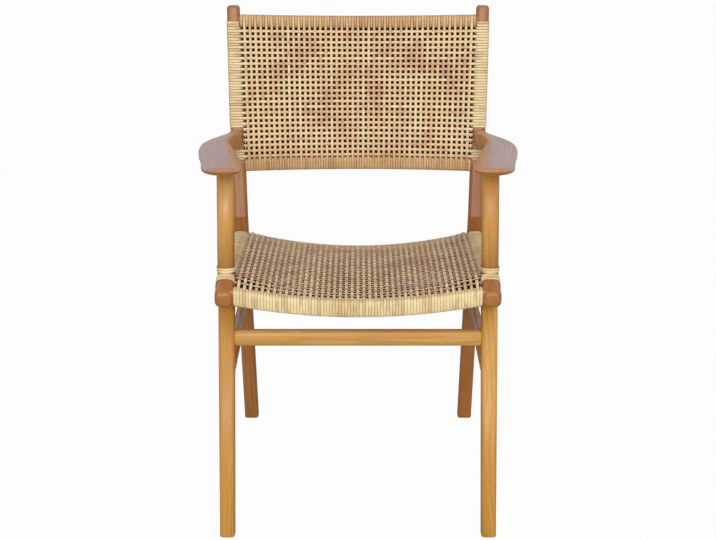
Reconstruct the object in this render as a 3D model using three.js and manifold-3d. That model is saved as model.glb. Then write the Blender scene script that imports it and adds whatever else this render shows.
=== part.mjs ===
// A teak armchair whose seat and back are woven from cane in two layers.
// Millimetres, +Z up, the sitter looks towards -Y, the origin lies on the floor below the middle.

import * as THREE from "three";
import { mergeVertices } from "three/addons/utils/BufferGeometryUtils.js";
import Module from "manifold-3d";

const wasm = await Module();
wasm.setup();

// Clearances and facet counts
const FIT_GAP = 0.3;
const OVERRUN = 12;
const SECTION_POINTS = 16;
const CROSS_POINTS = 12;
const PADDLE_POINTS = 18;
const DOWEL_POINTS = 12;
const BOW_STEPS = 6;

// How square a section is: 2 is an ellipse, larger is squarer
const squareLegPower = 5;
const roundPostPower = 2.9;
const railPower = 4.2;
const nosePower = 3.4;
const dowelPower = 2.2;
const stretcherPower = 3;
const cornerPower = 3.6;
const halfShare = 0.5;

// Front legs and arm posts, spread is from the middle of the chair
const FOOT_SPREAD = 227.5;
const LEG_TOP_SPREAD = 217.5;
const ARM_POST_SPREAD = 213.5;
const LEG_RAKE = 10;
const FOOT_WIDTH = 26;
const FOOT_DEPTH = 28;
const LEG_WIDTH = 27.2;
const LEG_DEPTH = 29;
const ARM_POST_WIDTH = 28;
const ARM_POST_DEPTH = 29;
const FOOT_EASE = 2;
const LEG_NOTCH = 5;

// Rear legs, one bent piece with the back posts
const REAR_FOOT_BACK = 510;
const REAR_FOOT_SPREAD = 221.5;
const REAR_FOOT_WIDTH = 28;
const REAR_FOOT_DEPTH = 30;
const BEND_BACK = 393;
const BEND_HEIGHT = 468;
const BEND_SPREAD = 224;
const BEND_WIDTH = 27;
const BEND_DEPTH = 34;
const BACK_TOP_BACK = 492;
const BACK_TOP_HEIGHT = 851.5;
const BACK_TOP_SPREAD = 236;
const BACK_TOP_WIDTH = 24;
const BACK_TOP_DEPTH = 25;
const BACK_TOP_EASE = 5;

// Side rails of the seat, each with a bare nose in front
const RAIL_WIDTH = 30;
const RAIL_REAR_WIDTH = 26;
const RAIL_SCRIBE = 8;
const RAIL_HEIGHT = 43;
const RAIL_CREST = 481;
const RAIL_CREST_BACK = -6;
const RAIL_REAR_TOP = 437;
const RAIL_REAR_BACK = 385;
const RAIL_FRONT_SPREAD = 216.6;
const RAIL_REAR_SPREAD = 223;
const NOSE_FRONT = -61;
const NOSE_SHOULDER_BACK = -50;
const NOSE_SHOULDER_TOP = 468;
const NOSE_BOTTOM = 439;
const NOSE_EASE = 7;
const NOSE_ROUND = 2.3;

// Front and rear rails of the seat, which dip in the middle
const CROSS_RAIL_DEPTH = 22;
const CROSS_RAIL_HEIGHT = 26;
const FRONT_RAIL_BACK = -44;
const FRONT_RAIL_HEIGHT = 456;
const FRONT_RAIL_DIP = 21;
const REAR_RAIL_BACK = 406;
const REAR_RAIL_HEIGHT = 413;
const REAR_RAIL_DIP = 26;
const SEAT_CROWN = 8;

// Back rails, which bow to the rear
const BACK_RAIL_DEPTH = 20;
const TOP_RAIL_HEIGHT = 20;
const TOP_RAIL_DROP = 27.5;
const TOP_RAIL_CENTRE = BACK_TOP_HEIGHT - TOP_RAIL_DROP;
const TOP_RAIL_DIP = 5;
const BOTTOM_RAIL_HEIGHT = 22;
const BOTTOM_RAIL_RISE = 94;
const BOTTOM_RAIL_CENTRE = BEND_HEIGHT + BOTTOM_RAIL_RISE;
const BACK_BOW = 18;
const BACK_RAIL_SET_IN = 1.6;

// Stretchers
const FRONT_STRETCHER_CENTRE = 364;
const FRONT_STRETCHER_HEIGHT = 27.5;
const FRONT_STRETCHER_DEPTH = 20;
const SIDE_STRETCHER_CENTRE = 288;
const SIDE_STRETCHER_SIZE = 21;
const STRETCHER_EASE = 3;

// Arms: a paddle in front, a block at the post behind
const ARM_FRONT = -88;
const ARM_REAR = 420;
const ARM_FRONT_TOP = 677;
const ARM_REAR_TOP = 628;
const ARM_LINE_DROP = 4;
const ARM_REAR_SPREAD = 229;
const ARM_WIDTH = 64;
const ARM_CROWN = 4;
const ARM_BELLY = 31;

// Tenons and dowels; the shoulder of a cross rail is scribed round the side piece
const SHOULDER_SCRIBE = 5;
const TENON_RADIUS = 7;
const TENON_LENGTH = 15;
const LEG_DOWEL_RADIUS = 5;
const RAIL_DOWEL_RADIUS = 4;
const RAIL_DOWEL_REACH = 26;
const RAIL_DOWEL_RISE = 10;
const RAIL_DOWEL_BITE = 16;
const ARM_DOWEL_RADIUS = 4;
const ARM_DOWEL_REACH = 22;
const ARM_DOWEL_BITE = 11;
const ARM_DOWEL_TOP_WALL = 7;

// Cane: sleeves of wound strands round the bars, nets between them
const CANE = 1.6;
const NET_THICKNESS = 2.4;
const NET_SET_IN = 1.4;
const SEAT_LAYER_DROP = 25;
const LASHING_LOOPS = 4;
const LASHING_STEPS = 16;
const LASHING_SIDES = 5;
const LASHING_RADIUS = 1.9;
const LASHING_PITCH = 4.5;
const BACK_FRONT_COLUMNS = 13;
const BACK_FRONT_ROWS = 7;
const BACK_REAR_COLUMNS = 7;
const BACK_REAR_ROWS = 4;
const SEAT_TOP_COLUMNS = 11;
const SEAT_TOP_ROWS = 8;
const SEAT_BOTTOM_COLUMNS = 6;
const SEAT_BOTTOM_ROWS = 5;
const netBarShare = 0.42;

// Wood and cane colours
const TEAK = new THREE.MeshStandardMaterial({ color: 0xb07a3c, roughness: 0.5, metalness: 0 });
const DOWEL_WOOD = new THREE.MeshStandardMaterial({ color: 0xc79a5b, roughness: 0.7, metalness: 0 });
const CANE_SKIN = new THREE.MeshStandardMaterial({ color: 0xd9b67c, roughness: 0.55, metalness: 0 });

// One section of a member: its place along the member, its centre, half sizes and squareness.
function section(along, u, v, halfWidth, up, down = up, power = railPower) {
  return { along, u, v, halfWidth, up, down, power };
}

function blend(a, b, share) {
  const mixed = {};
  for (const key of Object.keys(a)) mixed[key] = THREE.MathUtils.lerp(a[key], b[key], share);
  return mixed;
}

function sectionAt(sections, along) {
  const last = sections.length - 1;
  let i = 0;
  while (i < last - 1 && sections[i + 1].along < along) i += 1;
  const a = sections[i];
  const b = sections[i + 1];
  return blend(a, b, (along - a.along) / (b.along - a.along));
}

// The stretch of a member from one place to another, with its sections grown all round.
function stretch(sections, from, to, growth = 0) {
  const inner = sections.filter((s) => s.along > from + FIT_GAP && s.along < to - FIT_GAP);
  return [sectionAt(sections, from), ...inner, sectionAt(sections, to)].map((s) => ({
    ...s,
    halfWidth: s.halfWidth + growth,
    up: s.up + growth,
    down: s.down + growth,
  }));
}

function power(value, exponent) {
  return Math.sign(value) * Math.abs(value) ** exponent;
}

// A closed body through rings of points: a superellipse at each section, flat at both ends.
// The axis is the direction that the sections are counted along.
// The ring starts half a step on, so that the widest facets lie flat on the four sides.
function loft(axis, sections, points = SECTION_POINTS) {
  const vertices = [];
  const place = {
    x: (t, u, v) => [t, u, v],
    y: (t, u, v) => [u, t, v],
    z: (t, u, v) => [u, v, t],
  }[axis];
  for (const s of sections) {
    const widest = Math.cos(Math.PI / points) ** (2 / s.power);
    for (let k = 0; k < points; k += 1) {
      const angle = (2 * Math.PI * (k + halfShare)) / points;
      const across = power(Math.cos(angle), 2 / s.power) / widest;
      const rise = power(Math.sin(angle), 2 / s.power) / widest;
      const v = s.v + rise * (rise > 0 ? s.up : s.down);
      vertices.push(...place(s.along, s.u + across * s.halfWidth, v));
    }
  }
  const faces = [];
  for (let i = 0; i < sections.length - 1; i += 1) {
    for (let k = 0; k < points; k += 1) {
      const a = i * points + k;
      const b = i * points + ((k + 1) % points);
      faces.push([a, b, b + points], [a, b + points, a + points]);
    }
  }
  const end = (sections.length - 1) * points;
  for (let k = 1; k < points - 1; k += 1) {
    faces.push([0, k + 1, k], [end, end + k, end + k + 1]);
  }
  const flip = axis === "y";
  const index = faces.flatMap(([a, b, c]) => (flip ? [a, c, b] : [a, b, c]));
  return closed(vertices, index);
}

function closed(vertices, index) {
  const geometry = new THREE.BufferGeometry();
  geometry.setAttribute("position", new THREE.Float32BufferAttribute(vertices, 3));
  geometry.setIndex(index);
  return geometry;
}

function solid(geometry) {
  const bare = geometry.clone();
  bare.deleteAttribute("normal");
  bare.deleteAttribute("uv");
  const merged = mergeVertices(bare);
  return new wasm.Manifold(
    new wasm.Mesh({
      numProp: 3,
      vertProperties: new Float32Array(merged.attributes.position.array),
      triVerts: new Uint32Array(merged.index.array),
    }),
  );
}

// A member grown all round by the fit gap: what its neighbours are cut back by.
function roomFor(axis, sections, points = SECTION_POINTS) {
  const grown = sections.map((s) => ({
    ...s,
    halfWidth: s.halfWidth + FIT_GAP,
    up: s.up + FIT_GAP,
    down: s.down + FIT_GAP,
  }));
  return solid(loft(axis, grown, points));
}

function surface(body) {
  const { vertProperties, triVerts } = body.getMesh();
  return closed(Array.from(vertProperties), Array.from(triVerts));
}

// A round peg between two points.
function peg(from, to, radius) {
  const run = new THREE.Vector3().subVectors(to, from);
  const geometry = new THREE.CylinderGeometry(radius, radius, run.length(), DOWEL_POINTS);
  const up = new THREE.Vector3(0, 1, 0);
  geometry.applyQuaternion(new THREE.Quaternion().setFromUnitVectors(up, run.normalize()));
  const middle = new THREE.Vector3().addVectors(from, to).multiplyScalar(0.5);
  return geometry.translate(middle.x, middle.y, middle.z);
}

// The hole for a peg: wider and longer by the fit gap.
function socket(from, to, radius) {
  const run = new THREE.Vector3().subVectors(to, from).setLength(FIT_GAP);
  return solid(peg(from.clone().sub(run), to.clone().add(run), radius + FIT_GAP));
}

function biggest(body) {
  return body.decompose().sort((a, b) => b.volume() - a.volume())[0];
}

function flipped(body) {
  const geometry = surface(body);
  geometry.scale(-1, 1, 1);
  const order = geometry.index.array;
  for (let i = 0; i < order.length; i += 3) {
    [order[i + 1], order[i + 2]] = [order[i + 2], order[i + 1]];
  }
  return geometry;
}

// A body cut by a tool and by the tool's mirror image.
function withoutBoth(body, tool) {
  return body.subtract(tool).subtract(solid(flipped(tool)));
}

// Rear legs: raked forwards up to the bend, then back to the top
const rearLegSections = [
  section(
    0,
    REAR_FOOT_SPREAD,
    REAR_FOOT_BACK,
    REAR_FOOT_WIDTH / 2 - FOOT_EASE,
    REAR_FOOT_DEPTH / 2 - FOOT_EASE,
    undefined,
    squareLegPower,
  ),
  section(
    FOOT_EASE,
    REAR_FOOT_SPREAD,
    REAR_FOOT_BACK,
    REAR_FOOT_WIDTH / 2,
    REAR_FOOT_DEPTH / 2,
    undefined,
    squareLegPower,
  ),
  section(BEND_HEIGHT, BEND_SPREAD, BEND_BACK, BEND_WIDTH / 2, BEND_DEPTH / 2, undefined, squareLegPower),
  section(
    BACK_TOP_HEIGHT - BACK_TOP_EASE,
    BACK_TOP_SPREAD,
    BACK_TOP_BACK,
    BACK_TOP_WIDTH / 2,
    BACK_TOP_DEPTH / 2,
    undefined,
    cornerPower,
  ),
  section(
    BACK_TOP_HEIGHT,
    BACK_TOP_SPREAD,
    BACK_TOP_BACK,
    BACK_TOP_WIDTH / 2 - BACK_TOP_EASE,
    BACK_TOP_DEPTH / 2 - BACK_TOP_EASE,
    undefined,
    cornerPower,
  ),
];

// Side rails: a sloping bar that turns down into a rounded nose
function railSection(back, top, bottom, spread, ease = 0, squareness = railPower, width = RAIL_WIDTH) {
  const half = (top - bottom) / 2 - ease;
  return section(back, spread, (top + bottom) / 2, width / 2 - ease, half, half, squareness);
}
const sideRailSections = [
  railSection(NOSE_FRONT, NOSE_SHOULDER_TOP, NOSE_BOTTOM, RAIL_FRONT_SPREAD, NOSE_EASE, nosePower),
  railSection(
    NOSE_FRONT + NOSE_ROUND,
    NOSE_SHOULDER_TOP,
    NOSE_BOTTOM,
    RAIL_FRONT_SPREAD,
    NOSE_ROUND,
    nosePower,
  ),
  railSection(NOSE_SHOULDER_BACK, NOSE_SHOULDER_TOP, NOSE_BOTTOM, RAIL_FRONT_SPREAD, 0, nosePower),
  railSection(RAIL_CREST_BACK, RAIL_CREST, RAIL_CREST - RAIL_HEIGHT, RAIL_FRONT_SPREAD),
  railSection(
    RAIL_REAR_BACK + RAIL_SCRIBE,
    RAIL_REAR_TOP,
    RAIL_REAR_TOP - RAIL_HEIGHT,
    RAIL_REAR_SPREAD,
    0,
    railPower,
    RAIL_REAR_WIDTH,
  ),
];

// Front legs: from the floor to the rail, then an arm post from the rail to the arm
const railOverLeg = sectionAt(sideRailSections, LEG_RAKE);
const legTop = railOverLeg.v - railOverLeg.down + LEG_NOTCH;
const postFoot = railOverLeg.v + railOverLeg.up - LEG_NOTCH;
const frontLegSections = [
  section(
    0,
    FOOT_SPREAD,
    0,
    FOOT_WIDTH / 2 - FOOT_EASE,
    FOOT_DEPTH / 2 - FOOT_EASE,
    undefined,
    squareLegPower,
  ),
  section(FOOT_EASE, FOOT_SPREAD, 0, FOOT_WIDTH / 2, FOOT_DEPTH / 2, undefined, squareLegPower),
  section(legTop, LEG_TOP_SPREAD, LEG_RAKE, LEG_WIDTH / 2, LEG_DEPTH / 2, undefined, squareLegPower),
];
const armPostSections = [
  section(
    postFoot,
    LEG_TOP_SPREAD,
    LEG_RAKE,
    ARM_POST_WIDTH / 2,
    ARM_POST_DEPTH / 2,
    undefined,
    roundPostPower,
  ),
  section(
    ARM_FRONT_TOP,
    ARM_POST_SPREAD,
    LEG_RAKE,
    ARM_POST_WIDTH / 2,
    ARM_POST_DEPTH / 2,
    undefined,
    roundPostPower,
  ),
];

// Cross rails: sections along X, dipped and bowed by a parabola that is nought at the ends
function crossSections(reach, back, height, bow, dip, depth, tall) {
  const sections = [];
  for (let i = 0; i <= BOW_STEPS; i += 1) {
    const share = (2 * i) / BOW_STEPS - 1;
    const sag = 1 - share * share;
    sections.push(section(share * reach, back + sag * bow, height - sag * dip, depth / 2, tall / 2));
  }
  return sections;
}

function postAt(height) {
  return sectionAt(rearLegSections, height);
}

// The wound front of a back rail is level with the front of the posts.
function backRailBack(height) {
  const post = postAt(height);
  return post.v - post.up + BACK_RAIL_SET_IN + BACK_RAIL_DEPTH / 2;
}

// The inner faces of the side pieces, where the shoulders of the cross rails stand.
function postFace(height) {
  const post = postAt(height);
  return post.u - post.halfWidth;
}
const frontRailFace = RAIL_FRONT_SPREAD - RAIL_WIDTH / 2;
const rearRailFace = postFace(REAR_RAIL_HEIGHT);
const topRailFace = postFace(TOP_RAIL_CENTRE);
const bottomRailFace = postFace(BOTTOM_RAIL_CENTRE);

const frontRailSections = crossSections(
  frontRailFace + SHOULDER_SCRIBE,
  FRONT_RAIL_BACK,
  FRONT_RAIL_HEIGHT,
  0,
  FRONT_RAIL_DIP,
  CROSS_RAIL_DEPTH,
  CROSS_RAIL_HEIGHT,
);
const rearRailSections = crossSections(
  rearRailFace + SHOULDER_SCRIBE,
  REAR_RAIL_BACK,
  REAR_RAIL_HEIGHT,
  0,
  REAR_RAIL_DIP,
  CROSS_RAIL_DEPTH,
  CROSS_RAIL_HEIGHT,
);
const topRailSections = crossSections(
  topRailFace + SHOULDER_SCRIBE,
  backRailBack(TOP_RAIL_CENTRE),
  TOP_RAIL_CENTRE,
  BACK_BOW,
  TOP_RAIL_DIP,
  BACK_RAIL_DEPTH,
  TOP_RAIL_HEIGHT,
);
const bottomRailSections = crossSections(
  bottomRailFace + SHOULDER_SCRIBE,
  backRailBack(BOTTOM_RAIL_CENTRE),
  BOTTOM_RAIL_CENTRE,
  BACK_BOW,
  0,
  BACK_RAIL_DEPTH,
  BOTTOM_RAIL_HEIGHT,
);

// Arms: each row gives the place along the arm, the outer and inner edges as shares of the arm's width,
// counted from the line of the posts, and the crown and the belly as shares of the fullest ones.
const armShares = [
  [0, 0.273, -0.367, 0.375, 0.048],
  [0.008, 0.381, -0.471, 0.75, 0.161],
  [0.03, 0.446, -0.507, 1, 0.29],
  [0.18, 0.558, -0.442, 1, 0.452],
  [0.34, 0.707, -0.301, 1, 0.484],
  [0.5, 0.801, -0.129, 1, 0.484],
  [0.63, 0.801, 0.019, 1, 0.548],
  [0.73, 0.683, 0.104, 1, 0.677],
  [0.83, 0.463, 0.049, 1, 0.839],
  [0.93, 0.244, -0.124, 1, 0.968],
  [1.04, 0.154, -0.174, 1, 1],
];
const armSections = armShares.map(([along, outer, inner, crown, belly]) => {
  const postLine = THREE.MathUtils.lerp(ARM_POST_SPREAD, ARM_REAR_SPREAD, along);
  const top = THREE.MathUtils.lerp(ARM_FRONT_TOP, ARM_REAR_TOP, along);
  return section(
    THREE.MathUtils.lerp(ARM_FRONT, ARM_REAR, along),
    postLine + ((outer + inner) / 2) * ARM_WIDTH,
    top - ARM_LINE_DROP,
    ((outer - inner) / 2) * ARM_WIDTH,
    crown * ARM_CROWN,
    belly * ARM_BELLY,
    nosePower,
  );
});

// Right-hand solids; the left-hand ones are their mirror images
const railRoom = roomFor("y", sideRailSections);
const armRoom = roomFor("y", armSections, PADDLE_POINTS);
const frontLegRoom = roomFor("z", frontLegSections);
const rearLegRoom = roomFor("z", rearLegSections);
let rearLeg = solid(loft("z", rearLegSections));
let frontLeg = biggest(solid(loft("z", frontLegSections)).subtract(railRoom));
let armPost = biggest(solid(loft("z", armPostSections)).subtract(railRoom).subtract(armRoom));
let sideRail = biggest(solid(loft("y", sideRailSections)).subtract(rearLegRoom));
let arm = biggest(solid(loft("y", armSections, PADDLE_POINTS)).subtract(rearLegRoom));

// Dowels: through the rail into leg and post, from post to arm, from rail and arm to the rear leg
const armUnderPost = sectionAt(armSections, LEG_RAKE);
const armRearSection = sectionAt(armSections, ARM_REAR - ARM_DOWEL_REACH);
const railRearSection = sectionAt(sideRailSections, RAIL_REAR_BACK - RAIL_DOWEL_REACH);
const armDowelHeight = armRearSection.v - armRearSection.down / 2;
const railDowelHeight = RAIL_REAR_TOP - RAIL_HEIGHT + RAIL_DOWEL_RISE;
const dowels = {
  leg_dowel: {
    from: new THREE.Vector3(LEG_TOP_SPREAD, LEG_RAKE, legTop - RAIL_DOWEL_REACH),
    to: new THREE.Vector3(LEG_TOP_SPREAD, LEG_RAKE, postFoot + RAIL_DOWEL_REACH),
    radius: LEG_DOWEL_RADIUS,
  },
  arm_front_dowel: {
    from: new THREE.Vector3(
      ARM_POST_SPREAD,
      LEG_RAKE,
      armUnderPost.v - armUnderPost.down - ARM_DOWEL_REACH,
    ),
    to: new THREE.Vector3(ARM_POST_SPREAD, LEG_RAKE, armUnderPost.v + armUnderPost.up - ARM_DOWEL_TOP_WALL),
    radius: ARM_DOWEL_RADIUS,
  },
  arm_rear_dowel: {
    from: new THREE.Vector3(armRearSection.u, ARM_REAR - ARM_DOWEL_REACH - ARM_DOWEL_BITE, armDowelHeight),
    to: new THREE.Vector3(armRearSection.u, ARM_REAR + ARM_DOWEL_BITE, armDowelHeight),
    radius: ARM_DOWEL_RADIUS,
  },
  seat_rail_dowel: {
    from: new THREE.Vector3(railRearSection.u, RAIL_REAR_BACK - RAIL_DOWEL_REACH, railDowelHeight),
    to: new THREE.Vector3(railRearSection.u, RAIL_REAR_BACK + RAIL_DOWEL_BITE, railDowelHeight),
    radius: RAIL_DOWEL_RADIUS,
  },
};
function bored(body, ...names) {
  return names.reduce((rest, name) => {
    const { from, to, radius } = dowels[name];
    return rest.subtract(socket(from, to, radius));
  }, body);
}
frontLeg = bored(frontLeg, "leg_dowel");
armPost = bored(armPost, "leg_dowel", "arm_front_dowel");
arm = bored(arm, "arm_front_dowel", "arm_rear_dowel");
sideRail = bored(sideRail, "leg_dowel", "seat_rail_dowel");
rearLeg = bored(rearLeg, "arm_rear_dowel", "seat_rail_dowel");

// A bar that runs across the chair to the inner faces of the side pieces, with a round tenon at each end.
// It returns the bar and the side piece with its mortise.
function crossBar(sections, face, host, room, points = CROSS_POINTS) {
  const bar = biggest(withoutBoth(solid(loft("x", sections, points)), room));
  const end = sections[sections.length - 1];
  const from = new THREE.Vector3(face - TENON_LENGTH, sectionAt(sections, face - TENON_LENGTH).u, end.v);
  const to = new THREE.Vector3(face + TENON_LENGTH, end.u, end.v);
  const tenon = solid(peg(from, to, TENON_RADIUS));
  return [bar.add(tenon).add(solid(flipped(tenon))), host.subtract(socket(from, to, TENON_RADIUS))];
}

let frontRail;
let rearRail;
let topRail;
let bottomRail;
let frontStretcher;
[frontRail, sideRail] = crossBar(frontRailSections, frontRailFace, sideRail, railRoom);
[rearRail, rearLeg] = crossBar(rearRailSections, rearRailFace, rearLeg, rearLegRoom);
[topRail, rearLeg] = crossBar(topRailSections, topRailFace, rearLeg, rearLegRoom);
[bottomRail, rearLeg] = crossBar(bottomRailSections, bottomRailFace, rearLeg, rearLegRoom);

// Front stretcher: eased at its shoulders
const stretcherLeg = sectionAt(frontLegSections, FRONT_STRETCHER_CENTRE);
const stretcherReach = stretcherLeg.u - stretcherLeg.halfWidth;
function stretcherSection(along, ease) {
  return section(
    along,
    stretcherLeg.v,
    FRONT_STRETCHER_CENTRE,
    FRONT_STRETCHER_DEPTH / 2 - ease,
    FRONT_STRETCHER_HEIGHT / 2 - ease,
    undefined,
    stretcherPower,
  );
}
const stretcherSections = [
  stretcherSection(-stretcherReach - OVERRUN, STRETCHER_EASE),
  stretcherSection(-stretcherReach, STRETCHER_EASE),
  stretcherSection(-stretcherReach + STRETCHER_EASE, 0),
  stretcherSection(stretcherReach - STRETCHER_EASE, 0),
  stretcherSection(stretcherReach, STRETCHER_EASE),
  stretcherSection(stretcherReach + OVERRUN, STRETCHER_EASE),
];
[frontStretcher, frontLeg] = crossBar(
  stretcherSections,
  stretcherReach,
  frontLeg,
  frontLegRoom,
  SECTION_POINTS,
);

// Side stretcher: round, from the front leg to the rear leg
const sideFront = sectionAt(frontLegSections, SIDE_STRETCHER_CENTRE);
const sideRear = sectionAt(rearLegSections, SIDE_STRETCHER_CENTRE);
const sideStretcherSections = [sideFront, sideRear].map((leg) =>
  section(
    leg.v,
    leg.u,
    SIDE_STRETCHER_CENTRE,
    SIDE_STRETCHER_SIZE / 2,
    SIDE_STRETCHER_SIZE / 2,
    undefined,
    dowelPower,
  ),
);
let sideStretcher = solid(loft("y", sideStretcherSections)).subtract(frontLegRoom).subtract(rearLegRoom);
sideStretcher = biggest(sideStretcher);
const stretcherSpan = sideStretcher.boundingBox();
const frontTenon = [
  new THREE.Vector3(sideFront.u, stretcherSpan.min[1] - TENON_LENGTH, SIDE_STRETCHER_CENTRE),
  new THREE.Vector3(sideFront.u, stretcherSpan.min[1] + TENON_LENGTH, SIDE_STRETCHER_CENTRE),
];
const rearTenon = [
  new THREE.Vector3(sideRear.u, stretcherSpan.max[1] - TENON_LENGTH, SIDE_STRETCHER_CENTRE),
  new THREE.Vector3(sideRear.u, stretcherSpan.max[1] + TENON_LENGTH, SIDE_STRETCHER_CENTRE),
];
sideStretcher = sideStretcher
  .add(solid(peg(...frontTenon, TENON_RADIUS)))
  .add(solid(peg(...rearTenon, TENON_RADIUS)));
frontLeg = frontLeg.subtract(socket(...frontTenon, TENON_RADIUS));
rearLeg = rearLeg.subtract(socket(...rearTenon, TENON_RADIUS));

// Sleeves of wound cane: a thin shell round a stretch of a bar
function sleeve(axis, sections, from, to, points = SECTION_POINTS) {
  const outer = solid(loft(axis, stretch(sections, from, to, FIT_GAP + CANE), points));
  const inner = solid(loft(axis, stretch(sections, from - OVERRUN, to + OVERRUN, FIT_GAP), points));
  return outer.subtract(inner);
}

// What a net or a neighbour is cut back by, so that it keeps the fit gap to a sleeve.
function keepOut(axis, sections, from, to, points = SECTION_POINTS, depth = CANE) {
  return solid(loft(axis, stretch(sections, from, to, 2 * FIT_GAP + depth), points));
}

// The same bar, carried on straight past its ends.
function lengthened(sections) {
  const first = sections[0];
  const last = sections[sections.length - 1];
  const before = { ...first, along: first.along - 2 * OVERRUN };
  return [before, ...sections, { ...last, along: last.along + 2 * OVERRUN }];
}

function crossSleeve(sections, ...rooms) {
  const reach = sections[sections.length - 1].along;
  const tube = sleeve("x", lengthened(sections), -reach, reach, CROSS_POINTS);
  return biggest(rooms.reduce(withoutBoth, tube));
}

function crossKeepOut(sections) {
  const reach = sections[sections.length - 1].along;
  return keepOut("x", sections, -reach, reach, CROSS_POINTS);
}

const railSleeveFront = LEG_RAKE + LEG_DEPTH / 2 + FIT_GAP;
const railSleeveRear = RAIL_REAR_BACK - CANE;
const railSleeveRoom = keepOut("y", sideRailSections, railSleeveFront, railSleeveRear + FIT_GAP);
const sleeveReach = CANE + 2 * FIT_GAP;
const sideWrapBottom = BOTTOM_RAIL_CENTRE + BOTTOM_RAIL_HEIGHT / 2 + sleeveReach;
const sideWrapTop = TOP_RAIL_CENTRE - TOP_RAIL_HEIGHT / 2 - sleeveReach;
const postSleeve = biggest(sleeve("z", rearLegSections, sideWrapBottom, sideWrapTop).subtract(armRoom));
const railSleeve = biggest(
  sleeve("y", sideRailSections, railSleeveFront, railSleeveRear)
    .subtract(rearLegRoom)
    .subtract(roomFor("z", armPostSections))
    .subtract(frontLegRoom),
);
const frontSleeve = crossSleeve(frontRailSections, railRoom);
const rearSleeve = crossSleeve(rearRailSections, rearLegRoom, railSleeveRoom, railRoom);
const topSleeve = crossSleeve(topRailSections, rearLegRoom);
const bottomSleeve = crossSleeve(bottomRailSections, rearLegRoom);

// The lashing: one strand wound round the rail in front of the arm post.
// Each point lies on the rail's section, grown by the strand's radius, one pitch further for each loop.
function lashingPoint(turns) {
  const back = lashingBack - LASHING_PITCH * turns;
  const s = sectionAt(sideRailSections, back);
  const angle = 2 * Math.PI * (turns + halfShare / LASHING_STEPS);
  const widest = Math.cos(Math.PI / LASHING_STEPS) ** (2 / s.power);
  const growth = LASHING_RADIUS + FIT_GAP;
  const across = (power(Math.cos(angle), 2 / s.power) / widest) * s.halfWidth;
  const rise = (power(Math.sin(angle), 2 / s.power) / widest) * s.up;
  return new THREE.Vector3(
    s.u + across + growth * power(Math.cos(angle), 2 / s.power) / widest,
    back,
    s.v + rise + growth * power(Math.sin(angle), 2 / s.power) / widest,
  );
}
const lashingBack = LEG_RAKE - ARM_POST_DEPTH / 2 - LASHING_RADIUS - 2 * FIT_GAP;
const lashingEnd = lashingBack - LASHING_PITCH * LASHING_LOOPS;

function winding() {
  const count = LASHING_LOOPS * LASHING_STEPS;
  const centres = [];
  for (let i = 0; i <= count; i += 1) centres.push(lashingPoint(i / LASHING_STEPS));
  const vertices = [];
  const along = new THREE.Vector3(0, 1, 0);
  centres.forEach((centre, i) => {
    const before = centres[Math.max(i - 1, 0)];
    const after = centres[Math.min(i + 1, count)];
    const run = new THREE.Vector3().subVectors(after, before).normalize();
    const outward = new THREE.Vector3().crossVectors(run, along).normalize();
    const sideways = new THREE.Vector3().crossVectors(outward, run);
    for (let k = 0; k < LASHING_SIDES; k += 1) {
      const angle = (2 * Math.PI * k) / LASHING_SIDES;
      const rim = centre
        .clone()
        .addScaledVector(outward, LASHING_RADIUS * Math.cos(angle))
        .addScaledVector(sideways, LASHING_RADIUS * Math.sin(angle));
      vertices.push(rim.x, rim.y, rim.z);
    }
  });
  const index = [];
  for (let i = 0; i < count; i += 1) {
    for (let k = 0; k < LASHING_SIDES; k += 1) {
      const a = i * LASHING_SIDES + k;
      const b = i * LASHING_SIDES + ((k + 1) % LASHING_SIDES);
      index.push(a, b + LASHING_SIDES, b, a, a + LASHING_SIDES, b + LASHING_SIDES);
    }
  }
  const end = count * LASHING_SIDES;
  for (let k = 1; k < LASHING_SIDES - 1; k += 1) index.push(0, k, k + 1, end, end + k + 1, end + k);
  let least = Infinity;
  centres.forEach((a, i) => {
    for (let j = i + Math.ceil(LASHING_STEPS / 2); j <= count; j += 1) {
      least = Math.min(least, a.distanceTo(centres[j]) - 2 * LASHING_RADIUS);
    }
  });
  console.log(`least gap of the lashing to itself: ${least.toFixed(2)} mm`);
  return solid(closed(vertices, index));
}
const lashing = winding();
const lashingRoom = keepOut(
  "y",
  sideRailSections,
  lashingEnd - LASHING_RADIUS,
  lashingBack + LASHING_RADIUS,
  SECTION_POINTS,
  2 * LASHING_RADIUS,
);

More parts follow.
